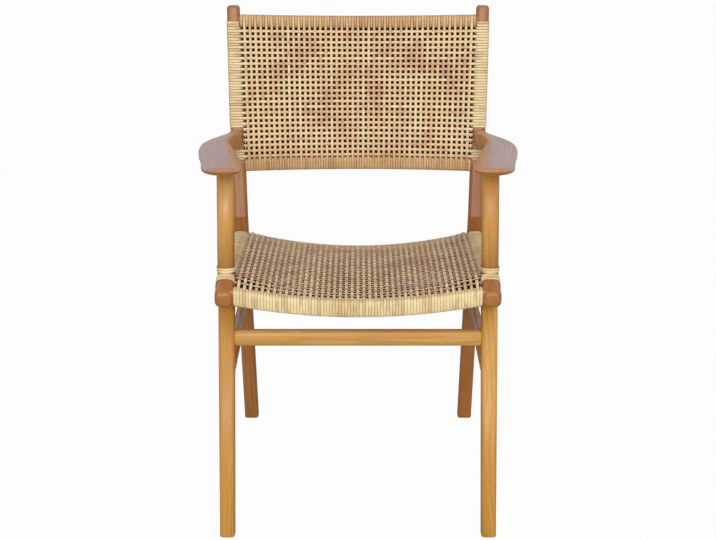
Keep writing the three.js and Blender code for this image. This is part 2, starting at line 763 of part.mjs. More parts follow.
// A net: a thin sheet with square gaps, from a function of two shares that gives its outer face.
// The gaps keep to the field inside the margin shares.
function gapLines(count, marginShare) {
  const fieldShare = 1 - 2 * marginShare;
  const lines = [0];
  for (let i = 0; i < count; i += 1) {
    for (const edge of [i + netBarShare / 2, i + 1 - netBarShare / 2]) {
      lines.push(marginShare + (fieldShare * edge) / count);
    }
  }
  return [...lines, 1];
}
function net(columns, rows, point, inward, marginShares) {
  const us = gapLines(columns, marginShares.u);
  const vs = gapLines(rows, marginShares.v);
  const vertices = [];
  for (const side of [0, 1]) {
    for (const v of vs) {
      for (const u of us) {
        const p = point(u, v).addScaledVector(inward, side * NET_THICKNESS);
        vertices.push(p.x, p.y, p.z);
      }
    }
  }
  const width = us.length;
  const layer = width * vs.length;
  const id = (side, j, i) => side * layer + j * width + i;
  const open = (j, i) => i % 2 === 1 && j % 2 === 1 && i < width - 1 && j < vs.length - 1;
  const index = [];
  const quad = (a, b, c, d) => index.push(a, b, c, a, c, d);
  for (let j = 0; j < vs.length - 1; j += 1) {
    for (let i = 0; i < width - 1; i += 1) {
      if (open(j, i)) continue;
      quad(id(0, j, i), id(0, j, i + 1), id(0, j + 1, i + 1), id(0, j + 1, i));
      quad(id(1, j, i), id(1, j + 1, i), id(1, j + 1, i + 1), id(1, j, i + 1));
      if (j === 0 || open(j - 1, i)) quad(id(0, j, i), id(1, j, i), id(1, j, i + 1), id(0, j, i + 1));
      if (j === vs.length - 2 || open(j + 1, i)) {
        quad(id(0, j + 1, i), id(0, j + 1, i + 1), id(1, j + 1, i + 1), id(1, j + 1, i));
      }
      if (i === 0 || open(j, i - 1)) quad(id(0, j, i), id(0, j + 1, i), id(1, j + 1, i), id(1, j, i));
      if (i === width - 2 || open(j, i + 1)) {
        quad(id(0, j, i + 1), id(1, j, i + 1), id(1, j + 1, i + 1), id(0, j + 1, i + 1));
      }
    }
  }
  return solid(closed(vertices, index));
}

// Back nets: the front one lies just behind the front of the sleeves, the rear one by the rear of the rails
function backPoint(setBack) {
  return (u, v) => {
    const share = 2 * u - 1;
    const sag = 1 - share * share;
    const high = TOP_RAIL_CENTRE - sag * TOP_RAIL_DIP;
    const height = THREE.MathUtils.lerp(BOTTOM_RAIL_CENTRE, high, v);
    const post = postAt(height);
    return new THREE.Vector3(share * post.u, post.v - post.up + setBack + sag * BACK_BOW, height);
  };
}
const backMarginShares = {
  u: (BEND_WIDTH / 2 + sleeveReach) / (2 * BEND_SPREAD),
  v: (BOTTOM_RAIL_HEIGHT / 2 + sleeveReach) / (TOP_RAIL_CENTRE - BOTTOM_RAIL_CENTRE),
};
const postRoom = keepOut("z", rearLegSections, BEND_HEIGHT, BACK_TOP_HEIGHT - BACK_TOP_EASE);
const backCuts = [crossKeepOut(topRailSections), crossKeepOut(bottomRailSections)];
function trimmed(sheet, sideCuts, cuts) {
  const narrowed = sideCuts.reduce(withoutBoth, sheet);
  return biggest(cuts.reduce((rest, tool) => rest.subtract(tool), narrowed));
}
const toRear = new THREE.Vector3(0, 1, 0);
const netSet = NET_SET_IN - FIT_GAP - CANE;
const backFrontSet = BACK_RAIL_SET_IN + netSet;
const backRearSet = BACK_RAIL_SET_IN + BACK_RAIL_DEPTH - netSet - NET_THICKNESS;
const backFrontNet = trimmed(
  net(BACK_FRONT_COLUMNS, BACK_FRONT_ROWS, backPoint(backFrontSet), toRear, backMarginShares),
  [postRoom],
  backCuts,
);
const backRearNet = trimmed(
  net(BACK_REAR_COLUMNS, BACK_REAR_ROWS, backPoint(backRearSet), toRear, backMarginShares),
  [postRoom],
  backCuts,
);

// Seat nets: the upper one follows the side rails at its edges and dips to a gently crowned middle line
const frontRailTop = FRONT_RAIL_HEIGHT + CROSS_RAIL_HEIGHT / 2;
const rearRailTop = REAR_RAIL_HEIGHT + CROSS_RAIL_HEIGHT / 2;
function seatPoint(drop) {
  return (u, v) => {
    const share = 2 * u - 1;
    const sag = 1 - share * share;
    const back = THREE.MathUtils.lerp(FRONT_RAIL_BACK, REAR_RAIL_BACK, v);
    const rail = sectionAt(sideRailSections, back);
    const line = THREE.MathUtils.lerp(frontRailTop - FRONT_RAIL_DIP, rearRailTop - REAR_RAIL_DIP, v);
    const middle = line + 4 * v * (1 - v) * SEAT_CROWN;
    const height = THREE.MathUtils.lerp(rail.v + rail.up, middle, sag);
    return new THREE.Vector3(share * rail.u, back, height - drop);
  };
}
const seatMarginShares = {
  u: (RAIL_WIDTH / 2 + sleeveReach) / (2 * RAIL_FRONT_SPREAD),
  v: (CROSS_RAIL_DEPTH / 2 + sleeveReach) / (REAR_RAIL_BACK - FRONT_RAIL_BACK),
};
const seatSides = [
  keepOut("y", sideRailSections, FRONT_RAIL_BACK, RAIL_REAR_BACK + RAIL_SCRIBE),
  lashingRoom,
  rearLegRoom,
];
const seatCuts = [crossKeepOut(frontRailSections), crossKeepOut(rearRailSections)];
const downwards = new THREE.Vector3(0, 0, -1);
const seatTopNet = trimmed(
  net(SEAT_TOP_COLUMNS, SEAT_TOP_ROWS, seatPoint(netSet), downwards, seatMarginShares),
  seatSides,
  seatCuts,
);
const seatBottomSet = netSet + SEAT_LAYER_DROP;
const seatBottomNet = trimmed(
  net(SEAT_BOTTOM_COLUMNS, SEAT_BOTTOM_ROWS, seatPoint(seatBottomSet), downwards, seatMarginShares),
  seatSides,
  seatCuts,
);

// Assembly
const chair = new THREE.Group();

function addMesh(name, geometry, material) {
  const mesh = new THREE.Mesh(geometry, material);
  mesh.name = name;
  chair.add(mesh);
}
function addPair(name, body, material) {
  addMesh(`${name}_right`, surface(body), material);
  addMesh(`${name}_left`, flipped(body), material);
}

addPair("front_leg", frontLeg, TEAK);
addPair("arm_post", armPost, TEAK);
addPair("rear_leg", rearLeg, TEAK);
addPair("seat_side_rail", sideRail, TEAK);
addPair("armrest", arm, TEAK);
addPair("side_stretcher", sideStretcher, TEAK);
addMesh("front_stretcher", surface(frontStretcher), TEAK);
addMesh("seat_front_rail", surface(frontRail), TEAK);
addMesh("seat_rear_rail", surface(rearRail), TEAK);
addMesh("back_top_rail", surface(topRail), TEAK);
addMesh("back_bottom_rail", surface(bottomRail), TEAK);
for (const [name, { from, to, radius }] of Object.entries(dowels)) {
  addPair(name, solid(peg(from, to, radius)), DOWEL_WOOD);
}
addPair("back_side_wrap", postSleeve, CANE_SKIN);
addPair("seat_side_wrap", railSleeve, CANE_SKIN);
addPair("front_lashing", lashing, CANE_SKIN);
addMesh("seat_front_wrap", surface(frontSleeve), CANE_SKIN);
addMesh("seat_rear_wrap", surface(rearSleeve), CANE_SKIN);
addMesh("back_top_wrap", surface(topSleeve), CANE_SKIN);
addMesh("back_bottom_wrap", surface(bottomSleeve), CANE_SKIN);
addMesh("back_front_weave", surface(backFrontNet), CANE_SKIN);
addMesh("back_rear_weave", surface(backRearNet), CANE_SKIN);
addMesh("seat_top_weave", surface(seatTopNet), CANE_SKIN);
addMesh("seat_bottom_weave", surface(seatBottomNet), CANE_SKIN);

const extent = new THREE.Box3().setFromObject(chair);
chair.position.y = -(extent.min.y + extent.max.y) / 2;

export default chair;
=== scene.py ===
"""A teak armchair with a seat and back of woven cane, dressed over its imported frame.

Sizes in the tables are millimetres: x to the viewer's right, "back" from the front leg axis towards the
rear, z up from the floor. to_scene turns them into the frame's metres.
"""

import math
from functools import partial

import bpy
import numpy as np
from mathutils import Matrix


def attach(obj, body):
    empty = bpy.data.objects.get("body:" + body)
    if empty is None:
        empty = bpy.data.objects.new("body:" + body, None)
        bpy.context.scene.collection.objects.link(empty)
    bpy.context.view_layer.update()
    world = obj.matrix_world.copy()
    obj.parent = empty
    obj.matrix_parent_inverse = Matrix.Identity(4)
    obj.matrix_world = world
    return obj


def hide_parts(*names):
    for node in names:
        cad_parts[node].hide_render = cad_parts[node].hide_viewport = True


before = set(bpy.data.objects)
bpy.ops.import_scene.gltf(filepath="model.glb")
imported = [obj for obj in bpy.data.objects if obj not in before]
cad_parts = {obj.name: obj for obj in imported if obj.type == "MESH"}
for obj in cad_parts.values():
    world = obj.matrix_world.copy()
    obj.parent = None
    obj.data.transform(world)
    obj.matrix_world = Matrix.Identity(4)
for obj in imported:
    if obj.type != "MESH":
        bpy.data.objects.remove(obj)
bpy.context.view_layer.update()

bl_info = {
    "name": "Woven Cane Armchair",
    "version": (1, 0, 0),
    "blender": (4, 5, 0),
    "location": "3D View > Sidebar > Armchair",
    "description": "Builds the teak frame, the cane weave and a plain stage for an armchair",
    "category": "Add Mesh",
}

MIDDLE_BACK = 218.5
SEED = 7
QUARTER = math.pi / 2

# Members: along, u, v, half width, up, down, squareness (2 is an ellipse, larger is squarer)
FRONT_LEG = np.array([
    (0, 227.5, 0, 13, 14, 14, 5),
    (441.2, 217.5, 10, 13.6, 14.5, 14.5, 5),
])
ARM_POST = np.array([
    (474.2, 217.5, 10, 14, 14.5, 14.5, 2.9),
    (658, 213.6, 10, 14, 14.5, 14.5, 2.9),
])
REAR_LEG = np.array([
    (0, 221.5, 510, 14, 15, 15, 5),
    (466.5, 224, 393.5, 13.5, 16.9, 16.9, 5),
    (468, 224.02, 393.3, 13.5, 17, 17, 5),
    (469.5, 224.05, 393.5, 13.5, 16.9, 16.9, 5),
    (846.5, 236, 492, 12, 12.5, 12.5, 3.6),
    (851.5, 236, 492, 12, 12.5, 12.5, 3.6),
])
SIDE_RAIL = np.array([
    (-61, 216.6, 453.5, 15, 14.5, 14.5, 3.4),
    (-50, 216.6, 453.5, 15, 14.5, 14.5, 3.4),
    (-6, 216.6, 459.5, 15, 21.5, 21.5, 4.2),
    (393, 223, 415.5, 13, 21.5, 21.5, 4.2),
])
FRONT_STRETCHER = np.array([
    (-206.4, 8.25, 364, 10, 13.75, 13.75, 3),
    (206.4, 8.25, 364, 10, 13.75, 13.75, 3),
])
SIDE_STRETCHER = np.array([
    (18.9, 220.97, 288, 10.5, 10.5, 10.5, 2.2),
    (424.6, 223.04, 288, 10.5, 10.5, 10.5, 2.2),
])
# Arm: place along it, outer edge, inner edge, crown above and belly below its line
ARM = np.array([
    (0, 231, 190, 1.5, 1.5),
    (0.008, 238, 183.5, 3, 5),
    (0.03, 242.5, 181.5, 4, 9),
    (0.18, 252, 188, 4, 14),
    (0.34, 264, 199.5, 4, 15),
    (0.5, 272.5, 213, 4, 15),
    (0.63, 274.5, 224.5, 4, 17),
    (0.73, 268.5, 231.5, 4, 21),
    (0.83, 256, 229.5, 4, 26),
    (0.93, 243.5, 220, 4, 30),
    (1, 240.5, 218.8, 4, 30.8),
])
ARM_FRONT, ARM_REAR = -88, 410
ARM_FRONT_LINE, ARM_REAR_LINE = 673, 625
ARM_UPPER_POWER, ARM_LOWER_POWER = 3.0, 2.0
ARM_RINGS = 72

# Seat rails: the ends' place and height, how far the middle dips and bows to the rear, half depth and half
# height, half length of that bend, and where a turn round the rail starts and which way it goes
SEAT_FRONT = dict(back=-44, height=456, dip=21, bow=0, deep=11, tall=13, reach=208, start=QUARTER, spin=1)
SEAT_REAR = dict(back=406, height=413, dip=26, bow=0, deep=11, tall=13, reach=208, start=QUARTER, spin=-1)
SEAT_CROWN = 8
BACK_BOW, BACK_SET_IN = 18, 1.6
HIDDEN_RAILS = ("seat_front_rail", "seat_rear_rail", "back_top_rail", "back_bottom_rail")
# The cross rails' squareness, and half the length over which the side rail's bend is rounded
RAIL_POWER, RAIL_BEND = 4.2, 7
# The back leans, so its sheets touch the rails at this part of a turn above or below their middle, where
# the section has this share of its half height.
BACK_LEAN, BACK_LEAN_RISE = 0.0656, 0.647

# Strands that meet between these heights at the posts stop there, because the arm is in their way.
ARM_WINDOW = (590, 631.8)
STOPPED_REACH = 1.022
# The lashings reach back to the first of these places and the arm posts to the second, and the rear legs
# start at the third. Rows beside them can't go round the side rails and end at these half lengths.
LASHED_END, POST_END, REAR_LEG_START = -7, 27.5, 379
LASHED_HALF, POST_HALF, LEG_HALF = 199.8, 203.0, 209.5
# Pitches from the field's edge to the hidden layer's first column and first row
COLUMN_EDGE, ROW_EDGE = 0.13, 0.3
# The layers' strands meet at this part of a turn, and lie this far off the wood and the wraps.
MEETING, GAP = 0.4, 0.3
# Steps of a strand round a bar, between crossings, past the last ones, while it widens and in a wound turn
TURN_STEPS, CROSSING_STEPS, LAST_STEPS, SPREAD_STEPS, WINDING_STEPS = 12, 4, 9, 6, 32
# Half widths that the columns' pitches are worked out from
BACK_HALF, SEAT_HALF = 210, 205
# The back's field is drawn to the posts within this distance, but not within this share of a rail.
BESIDE_POST, BESIDE_RAIL = 20, 0.08
# What each set of strands adds to the seed
SALTS = dict(back_columns=11, back_rows=31, seat_columns=51, seat_rows=71)

# Turns round the noses, the arm posts' feet, the side rails beside each row and the posts beside the top rail
LASHING_START, LASHING_PITCH, LASHING_TURNS, LASHING_WIDTH = -7.6, 4.5, 4, 4.1
FOOT_TURNS, FOOT_WIDTH = (482.9, 487.1), 4.0
SIDE_TURN_SHIFT, SIDE_TURN_WIDTH = 0.34, 4.2
OPEN_TURNS, OPEN_TURN_ENDS, OPEN_TURN_STEPS = (4.9, 9.8), (-0.13, 0.63), 25

# Camera: focal length on a 36 mm sensor, place in metres, and tilt up from straight down in degrees
CAMERA_LENS, CAMERA_PLACE, CAMERA_TILT = 70.9, (0, -2.419, 1.2), 72
LAMPS_AIM = (0, 0, 0.5)


def to_scene(points):
    """Millimetres in the chair's own coordinates to the frame's metres: (x, back - MIDDLE_BACK, z) / 1000."""
    return (points - np.array([0, MIDDLE_BACK, 0])) / 1000


def at(table, along):
    """A table's other columns at the given places, in straight lines between its rows."""
    along = np.asarray(along, float)
    return [np.interp(along, table[:, 0], table[:, k]) for k in range(1, table.shape[1])]


def softened(table, places, reach):
    """The table read at places, each value the mean of five readings within plus or minus reach."""
    taps = [at(table, places + reach * share) for share in (-1, -0.5, 0, 0.5, 1)]
    return np.column_stack([places] + [np.mean(group, axis=0) for group in zip(*taps)])


def smooth_curve(x, knots, values):
    """Cubic Hermite curve through knots; each slope is the harmonic mean of its neighbours', or zero."""
    step = np.diff(knots)
    rise = np.diff(values) / step
    slope = np.zeros(len(knots))
    same = rise[:-1] * rise[1:] > 0
    slope[1:-1][same] = 2 * rise[:-1][same] * rise[1:][same] / (rise[:-1][same] + rise[1:][same])
    slope[0], slope[-1] = rise[0], rise[-1]
    i = np.clip(np.searchsorted(knots, x) - 1, 0, len(step) - 1)
    t = (x - knots[i]) / step[i]
    return (values[i] * (1 + 2 * t) * (1 - t) ** 2 + slope[i] * step[i] * t * (1 - t) ** 2
            + values[i + 1] * t * t * (3 - 2 * t) - slope[i + 1] * step[i] * t * t * (1 - t))


def ramp(x):
    """Smooth step: 3x^2 - 2x^3 between 0 and 1, level outside."""
    x = np.clip(x, 0, 1)
    return x * x * (3 - 2 * x)


def ellipse_share(angle, power):
    """Superellipse |u|^p + |v|^p = 1 at an angle: u = sgn(cos)|cos|^(2/p), v = sgn(sin)|sin|^(2/p)."""
    c, s = np.cos(angle), np.sin(angle)
    return np.sign(c) * np.abs(c) ** (2 / power), np.sign(s) * np.abs(s) ** (2 / power)


# Meshes

def add_piece(node, ending, vertices, faces, attributes, material):
    """A mesh object that replaces a node, from millimetres and groups of faces with equal corner counts."""
    name = f"{node}_{ending}"
    mesh = bpy.data.meshes.new(name)
    totals = np.concatenate([np.full(len(group), group.shape[1]) for group in faces])
    corners = np.concatenate([group.reshape(-1) for group in faces])
    mesh.vertices.add(len(vertices))
    mesh.vertices.foreach_set("co", to_scene(vertices).astype(np.float32).ravel())
    mesh.loops.add(len(corners))
    mesh.loops.foreach_set("vertex_index", corners.astype(np.int32))
    mesh.polygons.add(len(totals))
    mesh.polygons.foreach_set("loop_start", (np.cumsum(totals) - totals).astype(np.int32))
    mesh.polygons.foreach_set("use_smooth", np.ones(len(totals), bool))
    for key, values in attributes.items():
        layer = mesh.attributes.new(key, "FLOAT_VECTOR", "POINT")
        layer.data.foreach_set("vector", values.astype(np.float32).ravel())
    mesh.update(calc_edges=True)
    if mesh.validate():
        raise RuntimeError(f"{name} has faces that are not valid")
    piece = bpy.data.objects.new(name, mesh)
    bpy.context.scene.collection.objects.link(piece)
    mesh.materials.append(material)
    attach(piece, "root")
    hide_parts(node)


def ring_faces(count, around, strips=1, flip=False):
    """Quads between successive rings of points, with one flat face at each end of every strip."""
    ring = np.arange(around)
    following = (ring + 1) % around
    start = (np.arange(strips)[:, None, None] * count + np.arange(count - 1)[None, :, None]) * around
    quads = np.stack([start + ring, start + following, start + following + around, start + ring + around], -1)
    first = np.arange(strips)[:, None] * count * around + ring[::-1]
    last = (np.arange(strips)[:, None] * count + count - 1) * around + ring
    groups = [quads.reshape(-1, 4), np.concatenate([first, last])]
    return [group[:, ::-1] for group in groups] if flip else groups


def eased(table, start, start_depth, end, end_depth, steps=6):
    """Rounds a member's ends: within the given length, a quarter ellipse takes the given depth off."""
    low, high = table[0, 0], table[-1, 0]
    quarter = np.linspace(0, QUARTER, steps)
    places = np.unique(np.concatenate([
        low + start * (1 - np.cos(quarter)), table[1:-1, 0], high - end * (1 - np.cos(quarter)),
    ]))
    rows = np.column_stack([places, *at(table, places)])
    near = np.clip(1 - (places - low) / max(start, 1e-6), 0, 1)
    far = np.clip(1 - (high - places) / max(end, 1e-6), 0, 1)
    rows[:, 3:6] -= (start_depth * (1 - np.sqrt(1 - near**2)) + end_depth * (1 - np.sqrt(1 - far**2)))[:, None]
    return rows


def loft(axis, table, around=56):
    """A member's skin: a superellipse of its half sizes at each row, carried along the axis.

    The last column is the squareness of the lower half, the seventh that of the upper half. Gives the
    vertices, the faces and the grain's own coordinates: across, up and along the member.
    """
    angle = 2 * np.pi * (np.arange(around) + 0.5) / around
    along, u, v, half, up, down, power = (table[:, k][:, None] for k in range(7))
    share, rise = ellipse_share(angle[None, :], np.where(np.sin(angle) > 0, power, table[:, -1:]))
    across, height = share * half, rise * np.where(rise > 0, up, down)
    spread = along + 0 * across
    order = {"x": (spread, u + across, v + height), "y": (u + across, spread, v + height),
             "z": (u + across, v + height, spread)}[axis]
    vertices = np.stack(order, -1).reshape(-1, 3)
    grain = np.stack([across, height, spread], -1).reshape(-1, 3) / 1000
    return vertices, ring_faces(len(table), around, flip=axis == "y"), grain


def add_member(name, axis, table, material, side=1, around=56):
    """A wooden member from its table, on the viewer's right (side 1) or mirrored to the left (side -1)."""
    vertices, faces, grain = loft(axis, table, around)
    if side < 0:
        vertices = vertices * np.array([-1, 1, 1])
        faces = [group[:, ::-1] for group in faces]
    node = f"{name}_{'right' if side > 0 else 'left'}" if axis != "x" else name
    shift = np.random.default_rng(SEED + sum(map(ord, node))).uniform(-3, 3, 3)
    add_piece(node, "wood", vertices, faces, {"grain_place": grain + shift}, material)


# Cane strands

PROFILE = np.array([(0.5, 0), (0.34, 0.5), (-0.34, 0.5), (-0.5, 0), (-0.34, -0.5), (0.34, -0.5)])


def ribbons(path, lift, width, thick, outward, keys):
    """Flat strands: a six-cornered profile carried along each row of an array of paths.

    path(shift) gives the paths (strands, steps, 3) moved sideways by shift millimetres. The normal is the
    cross product of the run and the sideways direction, on the side of outward at the middle of the path, or
    away from the middle of the turn there. lift moves a strand along it.
    """
    centre = path(0.0)
    sideways = path(0.5) - path(-0.5)
    run = np.gradient(centre, axis=1)
    normal = np.cross(sideways, run)
    normal /= np.linalg.norm(normal, axis=-1, keepdims=True)
    middle = normal.shape[1] // 2
    if outward is None:
        half = WINDING_STEPS // 2
        outward = centre[0, middle] - centre[0, middle - half:middle + half].mean(axis=0)
    normal *= np.sign(normal[:, middle] @ np.asarray(outward, float))[:, None, None]
    centre = centre + normal * np.broadcast_to(lift, centre.shape[:2])[..., None]
    run = np.gradient(centre, axis=1)
    run /= np.linalg.norm(run, axis=-1, keepdims=True)
    edge = np.cross(normal, run)
    edge /= np.linalg.norm(edge, axis=-1, keepdims=True)
    normal = np.cross(run, edge)
    u = PROFILE[:, 0] * np.broadcast_to(width, centre.shape[:2])[..., None]
    v = PROFILE[:, 1] * thick
    rings = centre[:, :, None] + edge[:, :, None] * u[..., None] + normal[:, :, None] * v[:, None]
    steps = np.linalg.norm(np.diff(centre, axis=1), axis=-1)
    length = np.concatenate([np.zeros((len(centre), 1)), np.cumsum(steps, axis=1)], axis=1) / 1000
    keys = np.asarray(keys, float)[:, None, None]
    place = np.stack(np.broadcast_arrays(length[:, :, None], PROFILE[:, 0][None, None], keys), -1)
    rise = np.broadcast_to(lift, length.shape)[:, :, None]
    skin = np.stack(np.broadcast_arrays(PROFILE[:, 1][None, None], rise, 0 * keys), -1)
    strips, count = centre.shape[:2]
    groups = ring_faces(count, len(PROFILE), strips)
    return rings.reshape(-1, 3), groups, place.reshape(-1, 3), skin.reshape(-1, 3)


def add_cane(node, ending, parts, material):
    """One piece of cane from its sets of strands."""
    starts = np.cumsum([0] + [len(part[0]) for part in parts])
    faces = [group + start for part, start in zip(parts, starts) for group in part[1]]
    vertices, places, skins = (np.concatenate([part[k] for part in parts]) for k in (0, 2, 3))
    add_piece(node, ending, vertices, faces, {"strand_place": places, "strand_skin": skins}, material)


def strand_keys(count, salt):
    """A number for each strand, so that no two are coloured alike."""
    return np.random.default_rng(SEED + salt).uniform(0, 40, count)


def wave(index):
    """The rise of a strand over and under its crossings: a cosine with flattened crests, level at the ends."""
    c = np.cos(np.pi * index)
    return c * (1.5 - 0.5 * c * c)


def half_shift(turn):
    """How far a strand has moved along its bar after part of a turn, in pitches.

    It moves half a pitch on the hidden side, from 0.3 to 0.5 of a turn, and half on the side of the field.
    """
    return 0.5 * ramp((turn - 0.3) / 0.2) + 0.5 * ramp((turn - 0.65) / 0.2)


def post(height):
    """Centre and half sizes of the back post at a height, without its eased top."""
    u, v, half, up, _, power = at(REAR_LEG, height)
    return u, v, half, up, power


def inner_face(height):
    """Where a back post's inner face stands at a height."""
    u, _, half, _, _ = post(height)
    return u - half


def back_rail(height, dip, tall, spin, deep=10):
    """A rail of the back, set in behind the posts' front faces, with its ends in the posts."""
    u, v, half, up, _ = post(height)
    return dict(back=v - up + BACK_SET_IN + deep, height=height, dip=dip, bow=BACK_BOW, deep=deep, tall=tall,
                reach=u - half + 5, start=math.pi, spin=spin)


BACK_TOP = back_rail(824, 5, 10, -1)
BACK_BOTTOM = back_rail(562, 0, 11, 1)
SIDE_RAIL_SOFT = softened(SIDE_RAIL, np.linspace(SIDE_RAIL[0, 0], 412, 120), RAIL_BEND)


class Weave:
    """The strands and the surfaces that they lie on, from the panel's settings.

    Each layer's strands go round the bars at its ends and meet the other layer's there. A place round a bar
    is a part of a turn: 0 at its face in the layer that shows, 0.25 outside, 0.5 in the hidden layer and
    0.75 towards the field. The hidden layer lies half a pitch along.
    """

    def __init__(self, settings):
        self.width = settings.strand_width * 1000
        self.row_width = settings.seat_row_width * 1000
        self.cover = settings.hidden_cover
        self.thick = settings.strand_thickness * 1000
        self.filler = settings.filler_width * 1000
        self.rise = settings.strand_rise * 1000
        self.clear = self.thick / 2 + GAP
        self.back_columns, self.back_rows = settings.back_columns, settings.back_rows
        self.seat_columns, self.seat_rows = settings.seat_columns, settings.seat_rows

    def turns(self, hidden, lean=0.0):
        """From where the layers' strands meet, on a bar's hidden side, to where one layer leaves the bar."""
        return np.linspace(MEETING, 0.5 * hidden + lean, TURN_STEPS + 1)[None, :]

    def numbers(self, count, hidden, edge):
        """The strands' places in pitches: 0.5, 1.5 and so on, or edge, 1, 2 and so on in the hidden layer."""
        return np.clip(np.arange(count + 1.0), edge, count - edge) if hidden else np.arange(count) + 0.5

    def lifts(self, number, crossing, count, hidden):
        """Rise of each strand (rows) at each step (columns), over and under the strands that it crosses.

        crossing is the place among those strands, in pitches; outside them the strand lies level.
        """
        first = 0.0 if hidden else 0.5
        inside = ramp(crossing / 0.3) * ramp((count - crossing) / 0.3)
        sign = np.where(np.rint(number - first) % 2, -1, 1)
        return self.rise * sign[:, None] * wave(crossing - first) * inside

    def woven(self, path, lift, hidden, pitch, outward, keys, stops=False, width=None):
        """Strands that cross a field and go level round the bars at its ends, or stop before them.

        The hidden layer's strands spread out on the field, to cover most of their pitch.
        """
        turns = (path(0.0).shape[1] - lift.shape[1]) // 2
        lift = np.pad(lift, ((0, 0), (turns, turns)))
        width = width or self.width
        step = np.arange(lift.shape[1])
        near = np.minimum(step, step[::-1]) - (-SPREAD_STEPS if stops else TURN_STEPS)
        spread = (self.cover * pitch - width) * hidden * ramp(near / SPREAD_STEPS)
        return ribbons(path, lift, (width + spread)[None, :], self.thick, outward, keys)

    def columns_set(self, hidden, count, half, crossings, crossed, ends, field, outward, salt):
        """Strands from one bar's hidden side along a field, which is 2 half wide, to another bar's hidden side.

        crossings are the places along the field in pitches of the crossed strands. ends has, for each bar,
        its points for a share of its reach and a part of a turn, and the parts of a turn.
        """
        number = self.numbers(count, hidden, COLUMN_EDGE)
        share = (number / count * 2 - 1 - hidden / count)[:, None]
        lift = self.lifts(number, crossings, crossed, hidden)

        def path(shift):
            side = share + shift / half
            first, last = (bar(side + half_shift(turn) * 2 / count, turn) for bar, turn in ends)
            return np.concatenate([first[:, :-1], field(side + hidden / count), last[:, -2::-1]], axis=1)

        return self.woven(path, lift, hidden, 2 * half / count, outward, strand_keys(len(share), salt + hidden))

    def cross_bar(self, rail, x, turn):
        """Points on a cross rail's wound surface: a superellipse about a line bent by 1 - (x / reach)^2."""
        x, turn = np.broadcast_arrays(np.asarray(x, float), np.asarray(turn, float))
        sag = 1 - (x / rail["reach"]) ** 2
        share, rise = ellipse_share(rail["start"] + rail["spin"] * 2 * math.pi * turn, RAIL_POWER)
        back = rail["back"] + rail["bow"] * sag + share * (rail["deep"] + self.clear)
        return np.stack([x, back, rail["height"] - rail["dip"] * sag + rise * (rail["tall"] + self.clear)], -1)

    # Back

    def back_reach(self, rail):
        """How far the strands reach along a back rail, beside the one wound on the post."""
        return inner_face(rail["height"]) - self.filler / 2 - self.clear

    def back_surface(self, share, v, hidden, fade):
        """Field of one layer: straight lines that touch both rails, drawn to the posts' faces at the sides.

        share runs from -1 to 1 between the inner faces; v runs from the bottom rail to the top rail.
        """
        share, v = np.broadcast_arrays(np.asarray(share, float), np.asarray(v, float))
        low = self.cross_bar(BACK_BOTTOM, share * self.back_reach(BACK_BOTTOM), 0.5 * hidden - BACK_LEAN)
        high = self.cross_bar(BACK_TOP, share * self.back_reach(BACK_TOP), 0.5 * hidden + BACK_LEAN)
        points = low + (high - low) * v[..., None]
        u, back, half, up, _ = post(points[..., 2])
        near = ramp((np.abs(points[..., 0]) - (u - half) + BESIDE_POST) / BESIDE_POST) * fade
        target = back + (2 * hidden - 1) * (up + self.clear)
        points[..., 1] += near * (target - points[..., 1])
        return points

    def back_span(self, hidden):
        """Shares of the field's height where the rows begin and end, just clear of the wound rails."""
        touch = (1 - 2 * hidden) * BACK_LEAN_RISE
        low = BACK_BOTTOM["height"] + touch * (BACK_BOTTOM["tall"] + self.clear)
        high = BACK_TOP["height"] + touch * (BACK_TOP["tall"] + self.clear)
        first = BACK_BOTTOM["height"] + BACK_BOTTOM["tall"] + 2 * self.clear
        last = BACK_TOP["height"] - BACK_TOP["tall"] - 2 * self.clear
        return (first - low) / (high - low), (last - low) / (high - low)

    def back_columns_set(self, hidden):
        """Strands from the top of the top rail down the field to the underside of the bottom rail."""
        low, high = self.back_span(hidden)
        v = np.linspace(1, 0, CROSSING_STEPS * self.back_rows + LAST_STEPS)[None, :]
        fade = ramp(v / BESIDE_RAIL) * ramp((1 - v) / BESIDE_RAIL)

        def end(rail, share, turn):
            return self.cross_bar(rail, share * self.back_reach(rail), turn)

        def field(share):
            return self.back_surface(share, v, hidden, fade)

        ends = [(partial(end, rail), self.turns(hidden, lean))
                for rail, lean in ((BACK_TOP, BACK_LEAN), (BACK_BOTTOM, -BACK_LEAN))]
        crossings = (v - low) / (high - low) * self.back_rows
        outward = (0, 2 * hidden - 1, 0)
        return self.columns_set(hidden, self.back_columns, BACK_HALF, crossings, self.back_rows, ends, field,
                                outward, SALTS["back_columns"])

    def upright_bar(self, member, side, height, turn):
        """Points on an upright member's wound surface: its section grown by the strands' clearance."""
        height, turn = np.broadcast_arrays(height, turn)
        u, back, half, up, _, power = at(member, height)
        share, rise = ellipse_share(-QUARTER + side * 2 * math.pi * turn, power)
        return np.stack([side * u + share * (half + self.clear), back + rise * (up + self.clear), height], -1)

    def open_turns(self, side, heights, key):
        """Strands round a post's front, outer and rear faces, open where the top rail stands."""
        turn = np.linspace(*OPEN_TURN_ENDS, OPEN_TURN_STEPS)[None, :]

        def path(shift):
            return self.upright_bar(REAR_LEG, side, np.asarray(heights)[:, None] + shift, turn)

        return ribbons(path, 0.0, self.filler, self.thick, (side, 0, 0), key + np.arange(len(heights)))

    def row_heights(self, places):
        """Heights at the posts of places among the back's rows, in pitches."""
        low, high = self.back_span(0)
        v = low + np.asarray(places) / self.back_rows * (high - low)
        return self.back_surface(1.0, v, 0, 1.0)[..., 2]

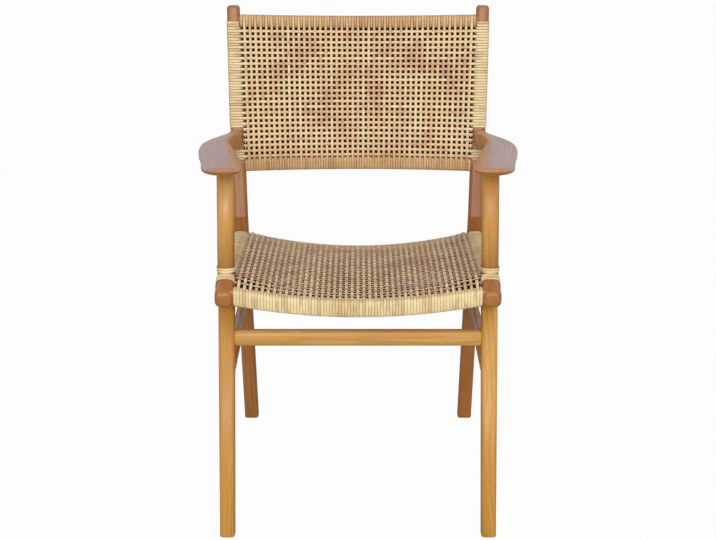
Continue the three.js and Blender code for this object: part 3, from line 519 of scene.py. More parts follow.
    def back_rows_set(self, hidden):
        """Strands across the field, round both posts to their outer faces, or up to them beside the arm."""
        low, high = self.back_span(hidden)
        number = self.numbers(self.back_rows, hidden, ROW_EDGE)
        v = (low + number / self.back_rows * (high - low))[:, None]
        heights = self.row_heights(number)
        pitch = np.ptp(heights) / self.back_rows
        meeting = heights - 0.5 * hidden * pitch
        barred = (meeting > ARM_WINDOW[0]) & (meeting < ARM_WINDOW[1])
        keys = strand_keys(len(number), SALTS["back_rows"] + hidden)
        n = self.back_columns
        tall = BACK_TOP["height"] - BACK_BOTTOM["height"]
        share = np.linspace(-1, 1, CROSSING_STEPS * n + 1)[None, :]
        turn = self.turns(hidden)
        parts = []
        for group, stops in ((~barred, False), (barred, True)):
            lift = -self.lifts(number[group], (share + 1) / 2 * n, n, hidden)
            reach = STOPPED_REACH if stops else 1.0

            def path(shift, rows=v[group], stops=stops, reach=reach):
                field = self.back_surface(share * reach, rows + shift / tall, hidden, 1.0)
                if stops:
                    return field
                level = field[:, -1:, 2] + pitch * (half_shift(turn) - 0.5 * hidden)
                left = self.upright_bar(REAR_LEG, -1, level, turn)
                right = self.upright_bar(REAR_LEG, 1, level, turn)[:, ::-1]
                return np.concatenate([left, field, right], axis=1)

            parts.append(self.woven(path, lift, hidden, pitch, (0, 2 * hidden - 1, 0), keys[group], stops))
        return parts

    # Seat

    def side_rail(self, back):
        """Centre, half sizes and squareness of the side rail at a place, with its bend rounded."""
        return at(SIDE_RAIL_SOFT, back)

    def seat_reach(self, back):
        """How far the columns reach to the side, beside the strand wound on the side rail."""
        u, _, half, _, _, _ = self.side_rail(back)
        return u - half - self.filler / 2 - self.clear

    def seat_surface(self, x, back, hidden):
        """Field of one layer: a parabola across, from the side rails to a gently crowned middle line.

        Near the cross rails it changes to their own dip.
        """
        x, back = np.broadcast_arrays(np.asarray(x, float), np.asarray(back, float))
        place = (back - SEAT_FRONT["back"]) / (SEAT_REAR["back"] - SEAT_FRONT["back"])
        upward = 1 - 2 * hidden

        def rail_height(rail, x):
            sag = 1 - (x / rail["reach"]) ** 2
            return rail["height"] - rail["dip"] * sag + upward * (rail["tall"] + self.clear)

        def edge_height(back):
            _, v, _, up, down, _ = self.side_rail(back)
            return v - down - self.clear if hidden else v + up + self.clear

        middle = rail_height(SEAT_FRONT, 0) * (1 - place) + rail_height(SEAT_REAR, 0) * place
        middle = middle + 4 * place * (1 - place) * SEAT_CROWN
        share = np.clip(np.abs(x) / self.side_rail(back)[0], 0, 1)
        z = edge_height(back) + (middle - edge_height(back)) * (1 - share**2)
        for rail, near in ((SEAT_FRONT, 1 - place), (SEAT_REAR, place)):
            edge = edge_height(rail["back"])
            own = edge + (rail_height(rail, 0) - edge) * (1 - share**2)
            z = z + (rail_height(rail, x) - own) * np.clip(near, 0, 1) ** 2 * (1 - share**4)
        return np.stack([x, back, z], -1)

    def seat_span(self):
        """Where the seat's rows begin and end, just clear of the wound rails."""
        edge = 2 * self.clear
        return SEAT_FRONT["back"] + SEAT_FRONT["deep"] + edge, SEAT_REAR["back"] - SEAT_REAR["deep"] - edge

    def seat_columns_set(self, hidden):
        """Strands from the front of the front rail, along the field, to the rear of the rear rail."""
        low, high = self.seat_span()
        count = CROSSING_STEPS * self.seat_rows + LAST_STEPS
        back = np.linspace(SEAT_FRONT["back"], SEAT_REAR["back"], count)[None, :]

        def end(rail, share, turn):
            return self.cross_bar(rail, share * self.seat_reach(rail["back"]), turn)

        def field(share):
            return self.seat_surface(share * self.seat_reach(back), back, hidden)

        ends = [(partial(end, rail), self.turns(hidden)) for rail in (SEAT_FRONT, SEAT_REAR)]
        crossings = (back - low) / (high - low) * self.seat_rows
        outward = (0, 0, 1 - 2 * hidden)
        return self.columns_set(hidden, self.seat_columns, SEAT_HALF, crossings, self.seat_rows, ends, field,
                                outward, SALTS["seat_columns"])

    def rail_bar(self, side, back, turn):
        """Points on a side rail's wound surface."""
        back, turn = np.broadcast_arrays(back, turn)
        u, v, half, up, _, power = self.side_rail(back)
        share, rise = ellipse_share(QUARTER - side * 2 * math.pi * turn, power)
        return np.stack([side * u + share * (half + self.clear), back, v + rise * (up + self.clear)], -1)

    def row_places(self, number):
        """Where the seat's rows lie, from their numbers in pitches."""
        low, high = self.seat_span()
        return low + number / self.seat_rows * (high - low)

    def row_limit(self, back):
        """Half length of the rows that end at a lashing, an arm post or a rear leg, and which rows do."""
        limit = np.where(back < LASHED_END, LASHED_HALF, np.where(back < POST_END, POST_HALF, LEG_HALF))
        return limit, (back < POST_END) | (back > REAR_LEG_START)

    def seat_rows_set(self, hidden):
        """Strands across the field and round both side rails, or up to the posts that stand in their way."""
        number = self.numbers(self.seat_rows, hidden, ROW_EDGE)
        places = self.row_places(number)
        pitch = np.ptp(places) / self.seat_rows
        limit, barred = self.row_limit(places - 0.5 * hidden * pitch)
        n = self.seat_columns
        keys = strand_keys(len(number), SALTS["seat_rows"] + hidden)
        step = np.linspace(-1, 1, CROSSING_STEPS * n + LAST_STEPS)[None, :]
        turn = self.turns(hidden)
        parts = []
        for group, stops in ((~barred, False), (barred, True)):
            back = places[group][:, None]
            x = step * (limit[group][:, None] if stops else self.side_rail(back)[0])
            lift = -self.lifts(number[group], (x / self.seat_reach(back) + 1) / 2 * n, n, hidden)

            def path(shift, back=back, x=x, stops=stops):
                field = self.seat_surface(x, back + shift, hidden)
                if stops:
                    return field
                moved = back + shift + pitch * (half_shift(turn) - 0.5 * hidden)
                left = self.rail_bar(-1, moved, turn)
                right = self.rail_bar(1, moved, turn)[:, ::-1]
                return np.concatenate([left[:, :-1], field, right[:, 1:]], axis=1)

            parts.append(self.woven(
                path, lift, hidden, pitch, (0, 0, 1 - 2 * hidden), keys[group], stops, self.row_width))
        return parts

    def winding(self, bar, places, key, width=None):
        """One strand wound round a bar, with a full turn at each place.

        bar(place, turn) gives points on the bar's wound surface, and key picks the strand's tones.
        """
        places = np.asarray(places, float)
        last = len(places) - 1
        count = np.arange(-0.2, last + 0.8, 1 / WINDING_STEPS)
        whole = np.clip(np.floor(count), 0, last).astype(int)
        step = places[np.minimum(whole + 1, last)] - places[whole]
        place = places[whole] + step * half_shift(count - whole)

        def path(shift):
            return bar(place + shift, count)[None]

        return ribbons(path, 0.0, width or self.filler, self.thick, None, [key])


# Materials

# Heights, depths and squared widths, in metres, between which a tone comes in
# SEAT_LEVEL is where the wood's painted shade comes in
SEAT_LEVEL = (0.405, 0.45)
FRONT_FACE, SIDE_BAND, REAR_DEPTH = (-0.258, -0.268), (0.0424, 0.0462), (0.172, 0.18)
# BELOW_BACK keeps the painted shade under the crossings to the seat
BOTTOM_RAIL, TOP_RAIL, BELOW_BACK = (0.592, 0.572), (0.803, 0.81), (0.53, 0.49)
# Depth of the pores and fibres, in metres
RELIEF = 0.0004


class Value:
    """A shader socket that Python's operators turn into Math nodes."""

    def __init__(self, shader, socket):
        self.shader, self.socket = shader, socket

    def __add__(self, other):
        return self.shader.math("ADD", self, other)

    def __radd__(self, other):
        return self.shader.math("ADD", other, self)

    def __sub__(self, other):
        return self.shader.math("SUBTRACT", self, other)

    def __rsub__(self, other):
        return self.shader.math("SUBTRACT", other, self)

    def __mul__(self, other):
        return self.shader.math("MULTIPLY", self, other)

    def __rmul__(self, other):
        return self.shader.math("MULTIPLY", other, self)


class Shader:
    """The nodes of a new material or world."""

    def __init__(self, owner):
        self.owner = owner
        owner.use_nodes = True
        self.tree = owner.node_tree
        self.tree.nodes.clear()

    def node(self, kind, settings=None, inputs=None):
        """A node of a type, with its settings first and then the values or links of its sockets."""
        node = self.tree.nodes.new(kind)
        for key, value in (settings or {}).items():
            setattr(node, key, value)
        for key, value in (inputs or {}).items():
            socket = node.inputs[key]
            source = value.socket if isinstance(value, Value) else value
            if isinstance(source, bpy.types.NodeSocket):
                self.tree.links.new(source, socket)
            else:
                socket.default_value = source
        return node

    def out(self, node, key=0):
        return Value(self, node.outputs[key])

    def math(self, operation, first, second=0.0):
        return self.out(self.node("ShaderNodeMath", {"operation": operation}, {0: first, 1: second}))

    def attribute(self, name):
        settings = {"attribute_type": "GEOMETRY", "attribute_name": name}
        return self.out(self.node("ShaderNodeAttribute", settings), "Vector")

    def place(self):
        """Object coordinates, which are the frame's metres."""
        return self.out(self.node("ShaderNodeTexCoord"), "Object")

    def parts(self, vector):
        split = self.node("ShaderNodeSeparateXYZ", None, {0: vector})
        return [self.out(split, key) for key in range(3)]

    def joined(self, x, y, z):
        return self.out(self.node("ShaderNodeCombineXYZ", None, {0: x, 1: y, 2: z}))

    def noise(self, vector, scale, detail, rough):
        inputs = {"Vector": vector, "Scale": scale, "Detail": detail, "Roughness": rough}
        return self.out(self.node("ShaderNodeTexNoise", None, inputs))

    def spread(self, value, low, high):
        """A value's range from low to high stretched to 0 to 1 and held there, with a smooth step."""
        inputs = {"Value": value, "From Min": low, "From Max": high}
        return self.out(self.node("ShaderNodeMapRange", {"interpolation_type": "SMOOTHSTEP"}, inputs))

    def mix(self, share, first, second):
        """Two colours mixed by a share of the second."""
        node = self.node("ShaderNodeMix", {"data_type": "RGBA"}, {0: share, 6: first, 7: second})
        return self.out(node, 2)

    def bump(self, height, strength):
        inputs = {"Height": height, "Strength": strength, "Distance": RELIEF}
        return self.out(self.node("ShaderNodeBump", None, inputs))

    def finish(self, inputs):
        surface = self.node("ShaderNodeBsdfPrincipled", None, inputs)
        self.node("ShaderNodeOutputMaterial", None, {"Surface": surface.outputs[0]})
        return self.owner


def wood_material(name, colors, source, coat, shade):
    """Oiled teak: long streaks, wavy darker growth lines, fine pores and slow changes of tone.

    source gives the vector with the grain along its third value, in metres, where the mesh doesn't hold it.
    shade is how much darker the wood is painted from the seat upwards: painted shade, even all over the arms.
    """
    shader = Shader(bpy.data.materials.new(name))
    _, _, height = shader.parts(shader.place())
    across, up, along = shader.parts(source(shader) if source else shader.attribute("grain_place"))
    slow = shader.noise(shader.joined(across, up, along * 0.16), 22.0, 3.0, 0.55)
    streak = shader.noise(shader.joined(across, up, along * 0.03), 190.0, 3.0, 0.6)
    pores = shader.noise(shader.joined(across, up, along * 0.045), 900.0, 2.0, 0.6)
    swing = shader.noise(shader.joined(across, up, along * 0.3), 16.0, 2.0, 0.45)
    rings = shader.math("SINE", across * 700 + up * 380 + swing * 30.0) * 0.5 + 0.5
    line = shader.spread(rings, 0.6, 1.0) * shader.spread(slow, 0.36, 0.62)
    dark, middle, light, streaks = colors
    color = shader.mix(shader.spread(slow, 0.34, 0.66), middle, light)
    color = shader.mix(shader.spread(streak, 0.42, 0.72) * 0.6, color, streaks)
    color = shader.mix(line * 0.3, color, dark)
    color = shader.mix(shader.spread(pores, 0.56, 0.74) * 0.35, color, dark)
    # Painted shade: the wood is made darker from the seat upwards
    color = shader.mix(shader.spread(height, *SEAT_LEVEL) * shade, color, dark)
    rough = streak * 0.2 + pores * 0.12 + 0.34
    relief = pores * 0.7 + streak * 0.3 - line * 0.4
    return shader.finish({
        "Base Color": color, "Roughness": rough, "Normal": shader.bump(relief, 0.25),
        "Coat Weight": coat, "Coat Roughness": 0.28, "Coat IOR": 1.5, "IOR": 1.4,
    })


def cane_material(name, colors):
    """Split cane: pale glossy skin with fine fibres, and patches of honey and rose along each strand.

    It is palest where it is wound on the front rail and at the sides, and amber on the other rails. Its inner
    side is dull and painted near black, as shade between the two layers, and the seat's strands get painted
    shade where they dip under others.
    """
    shader = Shader(bpy.data.materials.new(name))
    length, side, key = shader.parts(shader.attribute("strand_place"))
    skin, rise, _ = shader.parts(shader.attribute("strand_skin"))
    place = shader.place()
    width, depth, height = shader.parts(place)
    area = shader.noise(place, 13.0, 2.0, 0.5)
    patch = shader.noise(shader.joined(length * 9, key * 3.7, 0.0), 1.6, 2.0, 0.5)
    blotch = shader.noise(shader.joined(length * 26, key * 5.1 + 11, side * 0.5), 1.5, 3.0, 0.6)
    fibre = shader.noise(shader.joined(length * 12, side * 14, key * 2.3), 2.2, 3.0, 0.65)
    tone = shader.noise(shader.joined(key * 7.9, 0.0, length * 1.2), 1.4, 1.0, 0.5)
    group = shader.noise(shader.joined(width, 0.0, 0.3), 26.0, 2.0, 0.6)
    pale, honey, rose, brown, shaded_pith, straw, amber = colors
    color = shader.mix(shader.spread(tone, 0.32, 0.68), pale, honey)
    color = shader.mix(shader.spread(area * 0.5 + patch * 0.5, 0.47, 0.64) * 0.85, color, rose)
    color = shader.mix(shader.spread(blotch, 0.54, 0.78) * 0.5, color, brown)
    front = shader.spread(depth, *FRONT_FACE)
    sides = shader.spread(width * width, *SIDE_BAND)
    rails = shader.math("MAXIMUM", shader.spread(depth, *REAR_DEPTH) * shader.spread(height, *BOTTOM_RAIL),
                        shader.spread(height, *TOP_RAIL) * 0.8)
    color = shader.mix(shader.math("MAXIMUM", front * 0.85, sides * 0.62), color, straw)
    color = shader.mix(rails * (1 - sides) * 0.7, color, amber)
    wound = shader.math("MAXIMUM", shader.math("MAXIMUM", front, sides), rails)
    turn = shader.noise(shader.joined(length * 14, key * 2.9, 0.5), 1.3, 1.0, 0.5)
    color = shader.mix(wound * shader.spread(turn, 0.5, 0.66) * 0.36, color, brown)
    color = shader.mix(front * shader.spread(group, 0.46, 0.66) * 0.6, color, amber)
    color = shader.mix(shader.spread(fibre, 0.45, 0.8) * 0.3, color, brown)
    # Painted shade where the seat's strands dip under the ones they cross
    dip = shader.spread(rise, 0.0, -0.4) * shader.spread(height, *BELOW_BACK)
    color = shader.mix(dip * 0.75, color, brown)
    edge = side * side * 4
    color = shader.mix(shader.spread(edge, 0.5, 1.0) * 0.25, color, brown)
    # Painted shade: the dull inner side is made near black for the shade between the two layers
    inner = shader.spread(skin, 0.0, -0.45)
    color = shader.mix(inner, color, shaded_pith)
    rough = fibre * 0.25 + inner * 0.4 + 0.34
    return shader.finish({
        "Base Color": color, "Roughness": rough, "Normal": shader.bump(fibre, 0.35),
        "Coat Weight": shader.spread(skin, 0.0, 0.3) * 0.1, "Coat Roughness": 0.3, "Specular IOR Level": 0.2,
    })


def grain_across(shader):
    """Object coordinates with x, the way the hidden rails run, put last."""
    x, y, z = shader.parts(shader.place())
    return shader.joined(y, z, x)


# Settings

def color_setting(name, description, default):
    return bpy.props.FloatVectorProperty(
        name=name, description=description, default=default, size=4, min=0, max=1, subtype="COLOR")


def length_setting(name, description, default):
    return bpy.props.FloatProperty(
        name=name, description=description, default=default, min=0.0002, unit="LENGTH", precision=4)


def factor_setting(name, description, default, low=0, high=1):
    return bpy.props.FloatProperty(
        name=name, description=description, default=default, min=low, max=high, subtype="FACTOR")


def count_setting(name, description, default):
    return bpy.props.IntProperty(name=name, description=description, default=default, min=5)


def power_setting(name, description, default):
    return bpy.props.FloatProperty(name=name, description=description, default=default, min=0, unit="POWER")


class ArmchairCaneSettings(bpy.types.PropertyGroup):
    strand_width: length_setting("Strand Width", "Width of a woven strand", 0.0051)
    seat_row_width: length_setting("Seat Row Width", "Width of the strands across the seat", 0.0037)
    strand_thickness: length_setting("Strand Thickness", "Thickness of a strand", 0.001)
    hidden_cover: factor_setting(
        "Hidden Layer Cover", "Share of their pitch that the hidden layer's strands cover", 0.82, 0.3, 0.95)
    filler_width: length_setting("Filler Width", "Width of the strand wound between the woven ones", 0.0046)
    strand_rise: length_setting("Strand Rise", "How far a strand rises over its crossings", 0.00055)
    back_columns: count_setting("Back Columns", "Upright strands in the back", 43)
    back_rows: count_setting("Back Rows", "Level strands in the back", 24)
    seat_columns: count_setting("Seat Columns", "Strands from front to rear", 41)
    seat_rows: count_setting("Seat Rows", "Strands from side to side", 31)
    pale: color_setting("Pale", "Cane skin at its palest", (0.97, 0.75, 0.45, 1))
    honey: color_setting("Honey", "Deeper cane skin", (0.84, 0.55, 0.275, 1))
    rose: color_setting("Rose", "Blush patches of the cane", (0.66, 0.33, 0.20, 1))
    # Brown is also the painted shade where the seat's strands dip under others
    brown: color_setting("Brown", "Fibres and edges of the cane", (0.34, 0.17, 0.08, 1))
    # Near black: painted shade between the layers on the strands' dull inner side
    shaded_pith: color_setting("Pith", "Dull inner side of the strands", (0.022, 0.013, 0.008, 1))
    straw: color_setting("Straw", "Strands wound on the front rail and the sides", (0.94, 0.77, 0.42, 1))
    amber: color_setting("Amber", "Strands wound on the other rails", (0.68, 0.40, 0.17, 1))


class ArmchairWoodSettings(bpy.types.PropertyGroup):
    golden_dark: color_setting("Golden Dark", "Growth lines of the golden pieces", (0.28, 0.10, 0.018, 1))
    golden_middle: color_setting("Golden Middle", "Common tone of the golden pieces", (0.55, 0.25, 0.035, 1))
    golden_light: color_setting("Golden Light", "Pale tone of the golden pieces", (0.68, 0.35, 0.060, 1))
    golden_streaks: color_setting("Golden Streaks", "Streaks of the golden pieces", (0.64, 0.23, 0.035, 1))
    pale_dark: color_setting("Pale Dark", "Growth lines of the pale pieces", (0.31, 0.12, 0.027, 1))
    pale_middle: color_setting("Pale Middle", "Common tone of the pale pieces", (0.61, 0.30, 0.067, 1))
    pale_light: color_setting("Pale Light", "Pale tone of the pale pieces", (0.75, 0.42, 0.12, 1))
    pale_streaks: color_setting("Pale Streaks", "Streaks of the pale pieces", (0.70, 0.28, 0.052, 1))
    brown_dark: color_setting("Brown Dark", "Growth lines of the brown pieces", (0.12, 0.042, 0.016, 1))
    brown_middle: color_setting("Brown Middle", "Common tone of the brown pieces", (0.48, 0.175, 0.036, 1))
    brown_light: color_setting("Brown Light", "Pale tone of the brown pieces", (0.61, 0.26, 0.052, 1))
    brown_streaks: color_setting("Brown Streaks", "Streaks of the brown pieces", (0.50, 0.13, 0.034, 1))
    # Painted shade on the brown pieces from the seat upwards
    brown_painted_shade: factor_setting(
        "Brown Shade", "How much darker the brown pieces are from the seat upwards", 0.26)
    arm_shade: factor_setting(
        "Arm Shade", "How much darker the arms are than the other brown pieces below the seat", 0.12)
    arm_coat: factor_setting("Arm Polish", "Weight of the oiled finish on the arms", 0.72)
    brown_coat: factor_setting("Brown Polish", "Weight of the oiled finish on the other brown pieces", 0.35)
    golden_coat: factor_setting(
        "Golden Polish", "Weight of the oiled finish on the golden and pale pieces", 0.22)


class ArmchairStageSettings(bpy.types.PropertyGroup):
    floor: color_setting("Floor", "Colour that the floor throws back on the chair", (0.5, 0.48, 0.46, 1))
    gloss: color_setting("Gloss", "Colour of the surroundings in reflections", (0.62, 0.76, 0.97, 1))
    key_power: power_setting("Key Light", "Power of the lamp above the front", 42)
    front_power: power_setting("Front Light", "Power of the lamp behind the camera", 98)
    sky: bpy.props.FloatProperty(
        name="Sky", description="Strength of the even light all round", default=0.42, min=0)


# Operators

def wood_for(settings, kind, name=None, source=None, coat=None, shade=None):
    """The golden, pale or brown teak of a piece, made once under its name."""
    name = name or f"{kind}_teak"
    colors = [getattr(settings, f"{kind}_{tone}") for tone in ("dark", "middle", "light", "streaks")]
    brown = kind == "brown"
    coat = coat or (settings.brown_coat if brown else settings.golden_coat)
    shade = shade or (settings.brown_painted_shade if brown else 0.0)
    found = bpy.data.materials.get(name)
    return found or wood_material(name, colors, source, coat, shade)


def cane_for(settings):
    """The cane of every strand, made once."""
    tones = ("pale", "honey", "rose", "brown", "shaded_pith", "straw", "amber")
    colors = [getattr(settings, tone) for tone in tones]
    return bpy.data.materials.get("cane_skin") or cane_material("cane_skin", colors)


class ARMCHAIR_OT_legs(bpy.types.Operator):
    """Builds the front legs, the arm posts and the bent rear legs"""

    bl_idname = "armchair.legs"
    bl_label = "Legs and Posts"

    def execute(self, context):
        settings = context.scene.armchair_wood
        golden, pale, brown = (wood_for(settings, kind) for kind in ("golden", "pale", "brown"))
        for side in (1, -1):
            add_member("front_leg", "z", eased(FRONT_LEG, 2, 2, 0, 0), golden, side)
            add_member("arm_post", "z", ARM_POST, pale, side)
            add_member("rear_leg", "z", eased(REAR_LEG, 2, 2, 5, 5), brown, side)
        return {"FINISHED"}


class ARMCHAIR_OT_rails(bpy.types.Operator):
    """Builds the side rails with their rounded noses, and finishes the rails hidden under the cane"""

    bl_idname = "armchair.rails"
    bl_label = "Seat and Back Rails"

    def execute(self, context):
        settings = context.scene.armchair_wood
        nose, neck, rear = SIDE_RAIL[[0, 1, -1], 0]
        # Rings stand close together over the bend.
        stretches = ((nose, neck, 8), (-46, 40, 24), (60, rear, 12))
        places = np.concatenate([np.linspace(*stretch) for stretch in stretches])
        table = softened(SIDE_RAIL, places, RAIL_BEND)
        for side in (1, -1):
            add_member("seat_side_rail", "y", eased(table, 11, 7, 0, 0, 9), wood_for(settings, "brown"), side)
        hidden = wood_for(settings, "brown", "hidden_rail_wood", grain_across)
        pegs = wood_for(settings, "golden", "peg_wood", Shader.place)
        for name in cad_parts:
            if name in HIDDEN_RAILS or "dowel" in name:
                for place in bpy.data.objects[name].material_slots:
                    place.material = hidden if name in HIDDEN_RAILS else pegs
        return {"FINISHED"}


class ARMCHAIR_OT_stretchers(bpy.types.Operator):
    """Builds the flat front stretcher and the round side stretchers"""

    bl_idname = "armchair.stretchers"
    bl_label = "Stretchers"

    def execute(self, context):
        settings = context.scene.armchair_wood
        add_member("front_stretcher", "x", eased(FRONT_STRETCHER, 3, 2.4, 3, 2.4), wood_for(settings, "pale"))
        for side in (1, -1):
            add_member("side_stretcher", "y", SIDE_STRETCHER, wood_for(settings, "brown"), side)
        return {"FINISHED"}


class ARMCHAIR_OT_arms(bpy.types.Operator):
    """Builds the paddle-shaped arms"""

    bl_idname = "armchair.arms"
    bl_label = "Arms"

    def execute(self, context):
        settings = context.scene.armchair_wood
        wood = wood_for(settings, "brown", "arm_teak", coat=settings.arm_coat, shade=settings.arm_shade)
        # Places crowd towards the front edge, so that it rounds off like a quarter ellipse.
        place = np.sqrt(ARM[:, 0])
        spread = np.linspace(0, 1, ARM_RINGS)
        outer, inner, crown, belly = (smooth_curve(spread, place, ARM[:, k]) for k in range(1, 5))
        along = spread**2
        table = np.column_stack([
            ARM_FRONT + (ARM_REAR - ARM_FRONT) * along, (outer + inner) / 2,
            ARM_FRONT_LINE + (ARM_REAR_LINE - ARM_FRONT_LINE) * along,
            (outer - inner) / 2, crown, belly, np.full(len(along), ARM_UPPER_POWER),
            ARM_LOWER_POWER + ramp((along - 0.5) * 3),
        ])
        for side in (1, -1):
            add_member("armrest", "y", table, wood, side, ARM_RINGS)
        return {"FINISHED"}


class ARMCHAIR_OT_back_cane(bpy.types.Operator):
    """Weaves the two layers of the back and winds its rails and posts"""

    bl_idname = "armchair.back_cane"
    bl_label = "Back Cane"

    def execute(self, context):
        settings = context.scene.armchair_cane
        cane = cane_for(settings)
        weave = Weave(settings)
        for hidden, node in ((0, "back_front_weave"), (1, "back_rear_weave")):
            parts = [weave.back_columns_set(hidden), *weave.back_rows_set(hidden)]
            add_cane(node, "strands", parts, cane)
        shares = np.arange(weave.back_columns + 1) / weave.back_columns * 2 - 1
        for rail, node in ((BACK_TOP, "back_top_wrap"), (BACK_BOTTOM, "back_bottom_wrap")):
            turns = weave.winding(partial(weave.cross_bar, rail), shares * weave.back_reach(rail), 3.1)
            add_cane(node, "strand", [turns], cane)
        heights = weave.row_heights(np.arange(weave.back_rows + 1))
        for side, suffix in ((1, "right"), (-1, "left")):
            bar = partial(weave.upright_bar, REAR_LEG, side)
            turns = [weave.winding(bar, heights[heights < ARM_WINDOW[0]], 5.3 + side),
                     weave.winding(bar, heights[heights > ARM_WINDOW[1]], 8.7 + side),
                     weave.open_turns(side, heights[-1] + np.array(OPEN_TURNS), 4.2 + side)]
            add_cane(f"back_side_wrap_{suffix}", "strand", turns, cane)
        return {"FINISHED"}


class ARMCHAIR_OT_seat_cane(bpy.types.Operator):
    """Weaves the two layers of the seat, winds its rails and lashes the noses"""

    bl_idname = "armchair.seat_cane"
    bl_label = "Seat Cane"

    def execute(self, context):
        settings = context.scene.armchair_cane
        cane = cane_for(settings)
        weave = Weave(settings)
        for hidden, node in ((0, "seat_top_weave"), (1, "seat_bottom_weave")):
            parts = [weave.seat_columns_set(hidden), *weave.seat_rows_set(hidden)]
            add_cane(node, "strands", parts, cane)
        shares = np.arange(weave.seat_columns + 1) / weave.seat_columns * 2 - 1
        for rail, node in ((SEAT_FRONT, "seat_front_wrap"), (SEAT_REAR, "seat_rear_wrap")):
            turns = weave.winding(partial(weave.cross_bar, rail), shares * weave.seat_reach(rail["back"]), 2.7)
            add_cane(node, "strand", [turns], cane)
        rows = weave.row_places(weave.numbers(weave.seat_rows, 0, ROW_EDGE))
        pitch = rows[1] - rows[0]
        wound = rows[~weave.row_limit(rows)[1]]
        places = np.sort(np.concatenate([wound - SIDE_TURN_SHIFT * pitch, wound + SIDE_TURN_SHIFT * pitch]))
        lashed = LASHING_START - LASHING_PITCH * np.arange(LASHING_TURNS)
        for side, suffix in ((1, "right"), (-1, "left")):
            bar = partial(weave.rail_bar, side)
            turns = weave.winding(bar, places, 6.1 + side, SIDE_TURN_WIDTH)
            add_cane(f"seat_side_wrap_{suffix}", "strand", [turns], cane)
            foot = partial(weave.upright_bar, ARM_POST, side)
            parts = [weave.winding(bar, lashed, 9.4 + side, LASHING_WIDTH),
                     weave.winding(foot, FOOT_TURNS, 2.4 + side, FOOT_WIDTH)]
            add_cane(f"front_lashing_{suffix}", "strand", parts, cane)
        return {"FINISHED"}


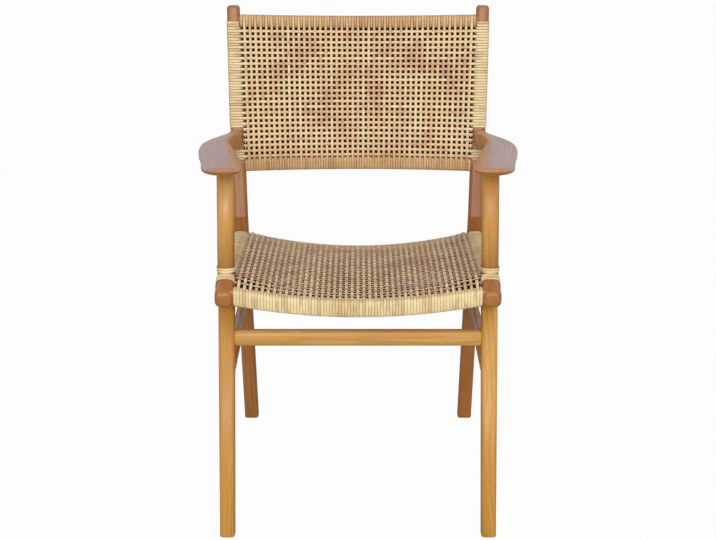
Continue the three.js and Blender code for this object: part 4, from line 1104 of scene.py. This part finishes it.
class ARMCHAIR_OT_stage(bpy.types.Operator):
    """Lays the floor, lights the chair softly and stands the camera in front of it"""

    bl_idname = "armchair.stage"
    bl_label = "Stage"

    def execute(self, context):
        settings = context.scene.armchair_stage
        scene = context.scene
        scene.view_settings.view_transform = "Standard"
        self.add_camera(scene)
        self.add_floor(scene, settings)
        self.add_world(scene, settings)
        for name, place, power, size, color in (
                ("key_lamp", (0.6, -2.4, 3.2), settings.key_power, (2.6, 2.6), (1.0, 0.98, 0.95)),
                ("front_lamp", (-0.3, -4.4, 1.9), settings.front_power, (2.6, 1.5), (0.88, 0.94, 1.0))):
            self.add_lamp(scene, name, place, power, size, color)
        return {"FINISHED"}

    def add_camera(self, scene):
        data = bpy.data.cameras.new("camera")
        data.sensor_width, data.lens = 36, CAMERA_LENS
        data.clip_end = 100
        camera = bpy.data.objects.new("camera", data)
        camera.location = CAMERA_PLACE
        camera.rotation_euler = (math.radians(CAMERA_TILT), 0, 0)
        scene.collection.objects.link(camera)
        scene.camera = camera

    def add_floor(self, scene, settings):
        """A pale floor that is nearly white to the camera and still takes the chair's shadow."""
        mesh = bpy.data.meshes.new("floor")
        mesh.from_pydata([(-20, -20, 0), (20, -20, 0), (20, 30, 0), (-20, 30, 0)], [], [(0, 1, 2, 3)])
        floor = bpy.data.objects.new("floor", mesh)
        scene.collection.objects.link(floor)
        shader = Shader(bpy.data.materials.new("floor"))
        seen = shader.out(shader.node("ShaderNodeLightPath"), "Is Camera Ray")
        tone = shader.mix(seen, settings.floor, (0.9, 0.9, 0.9, 1))
        matt = shader.node("ShaderNodeBsdfDiffuse", None, {"Color": tone})
        glow = shader.node("ShaderNodeEmission", None, {"Color": (1, 1, 1, 1), "Strength": 1.0})
        surface = shader.node("ShaderNodeMixShader", None, {
            0: seen * 0.96, 1: matt.outputs[0], 2: glow.outputs[0]})
        shader.node("ShaderNodeOutputMaterial", None, {"Surface": surface.outputs[0]})
        mesh.materials.append(shader.owner)

    def add_world(self, scene, settings):
        """An even sky, plain white where the camera sees it and tinted in reflections."""
        scene.world = bpy.data.worlds.new("sky")
        shader = Shader(scene.world)
        ray = shader.node("ShaderNodeLightPath")
        strength = shader.node("ShaderNodeMapRange", None, {
            "Value": ray.outputs["Is Camera Ray"], "To Min": settings.sky, "To Max": 1.0})
        even = shader.node("ShaderNodeBackground", None, {
            "Color": (1, 1, 1, 1), "Strength": strength.outputs[0]})
        mirrored = shader.node("ShaderNodeBackground", None, {"Color": settings.gloss})
        both = shader.node("ShaderNodeMixShader", None, {
            0: ray.outputs["Is Glossy Ray"], 1: even.outputs[0], 2: mirrored.outputs[0]})
        shader.node("ShaderNodeOutputWorld", None, {"Surface": both.outputs[0]})

    def add_lamp(self, scene, name, place, power, size, color):
        """A soft rectangular lamp turned towards the chair."""
        data = bpy.data.lights.new(name, "AREA")
        data.shape = "RECTANGLE"
        data.energy, data.color = power, color
        data.size, data.size_y = size
        lamp = bpy.data.objects.new(name, data)
        lamp.location = place
        aim = np.array(LAMPS_AIM) - np.array(place)
        lamp.rotation_euler = (
            math.atan2(math.hypot(aim[0], aim[1]), -aim[2]), 0, math.atan2(aim[1], aim[0]) - QUARTER)
        scene.collection.objects.link(lamp)


class ARMCHAIR_PT_panel(bpy.types.Panel):
    """Lists the chair's settings and the steps that build it"""

    bl_idname = "ARMCHAIR_PT_panel"
    bl_label = "Woven Cane Armchair"
    bl_space_type = "VIEW_3D"
    bl_region_type = "UI"
    bl_category = "Armchair"

    def draw(self, context):
        for step in STEPS:
            self.layout.operator(step.bl_idname)
        for group in (context.scene.armchair_wood, context.scene.armchair_cane, context.scene.armchair_stage):
            box = self.layout.box()
            for key in group.__annotations__:
                box.prop(group, key)


STEPS = (
    ARMCHAIR_OT_stage,
    ARMCHAIR_OT_legs,
    ARMCHAIR_OT_rails,
    ARMCHAIR_OT_stretchers,
    ARMCHAIR_OT_arms,
    ARMCHAIR_OT_back_cane,
    ARMCHAIR_OT_seat_cane,
)
GROUPS = {
    "armchair_wood": ArmchairWoodSettings,
    "armchair_cane": ArmchairCaneSettings,
    "armchair_stage": ArmchairStageSettings,
}


def register():
    for kind in (*GROUPS.values(), *STEPS, ARMCHAIR_PT_panel):
        bpy.utils.register_class(kind)
    for key, kind in GROUPS.items():
        setattr(bpy.types.Scene, key, bpy.props.PointerProperty(type=kind))


def unregister():
    for key in GROUPS:
        delattr(bpy.types.Scene, key)
    for kind in (ARMCHAIR_PT_panel, *STEPS, *GROUPS.values()):
        bpy.utils.unregister_class(kind)


def main():
    register()
    bpy.ops.armchair.stage()
    bpy.ops.armchair.legs()
    bpy.ops.armchair.rails()
    bpy.ops.armchair.stretchers()
    bpy.ops.armchair.arms()
    bpy.ops.armchair.back_cane()
    bpy.ops.armchair.seat_cane()


if __name__ == "__main__":
    main()
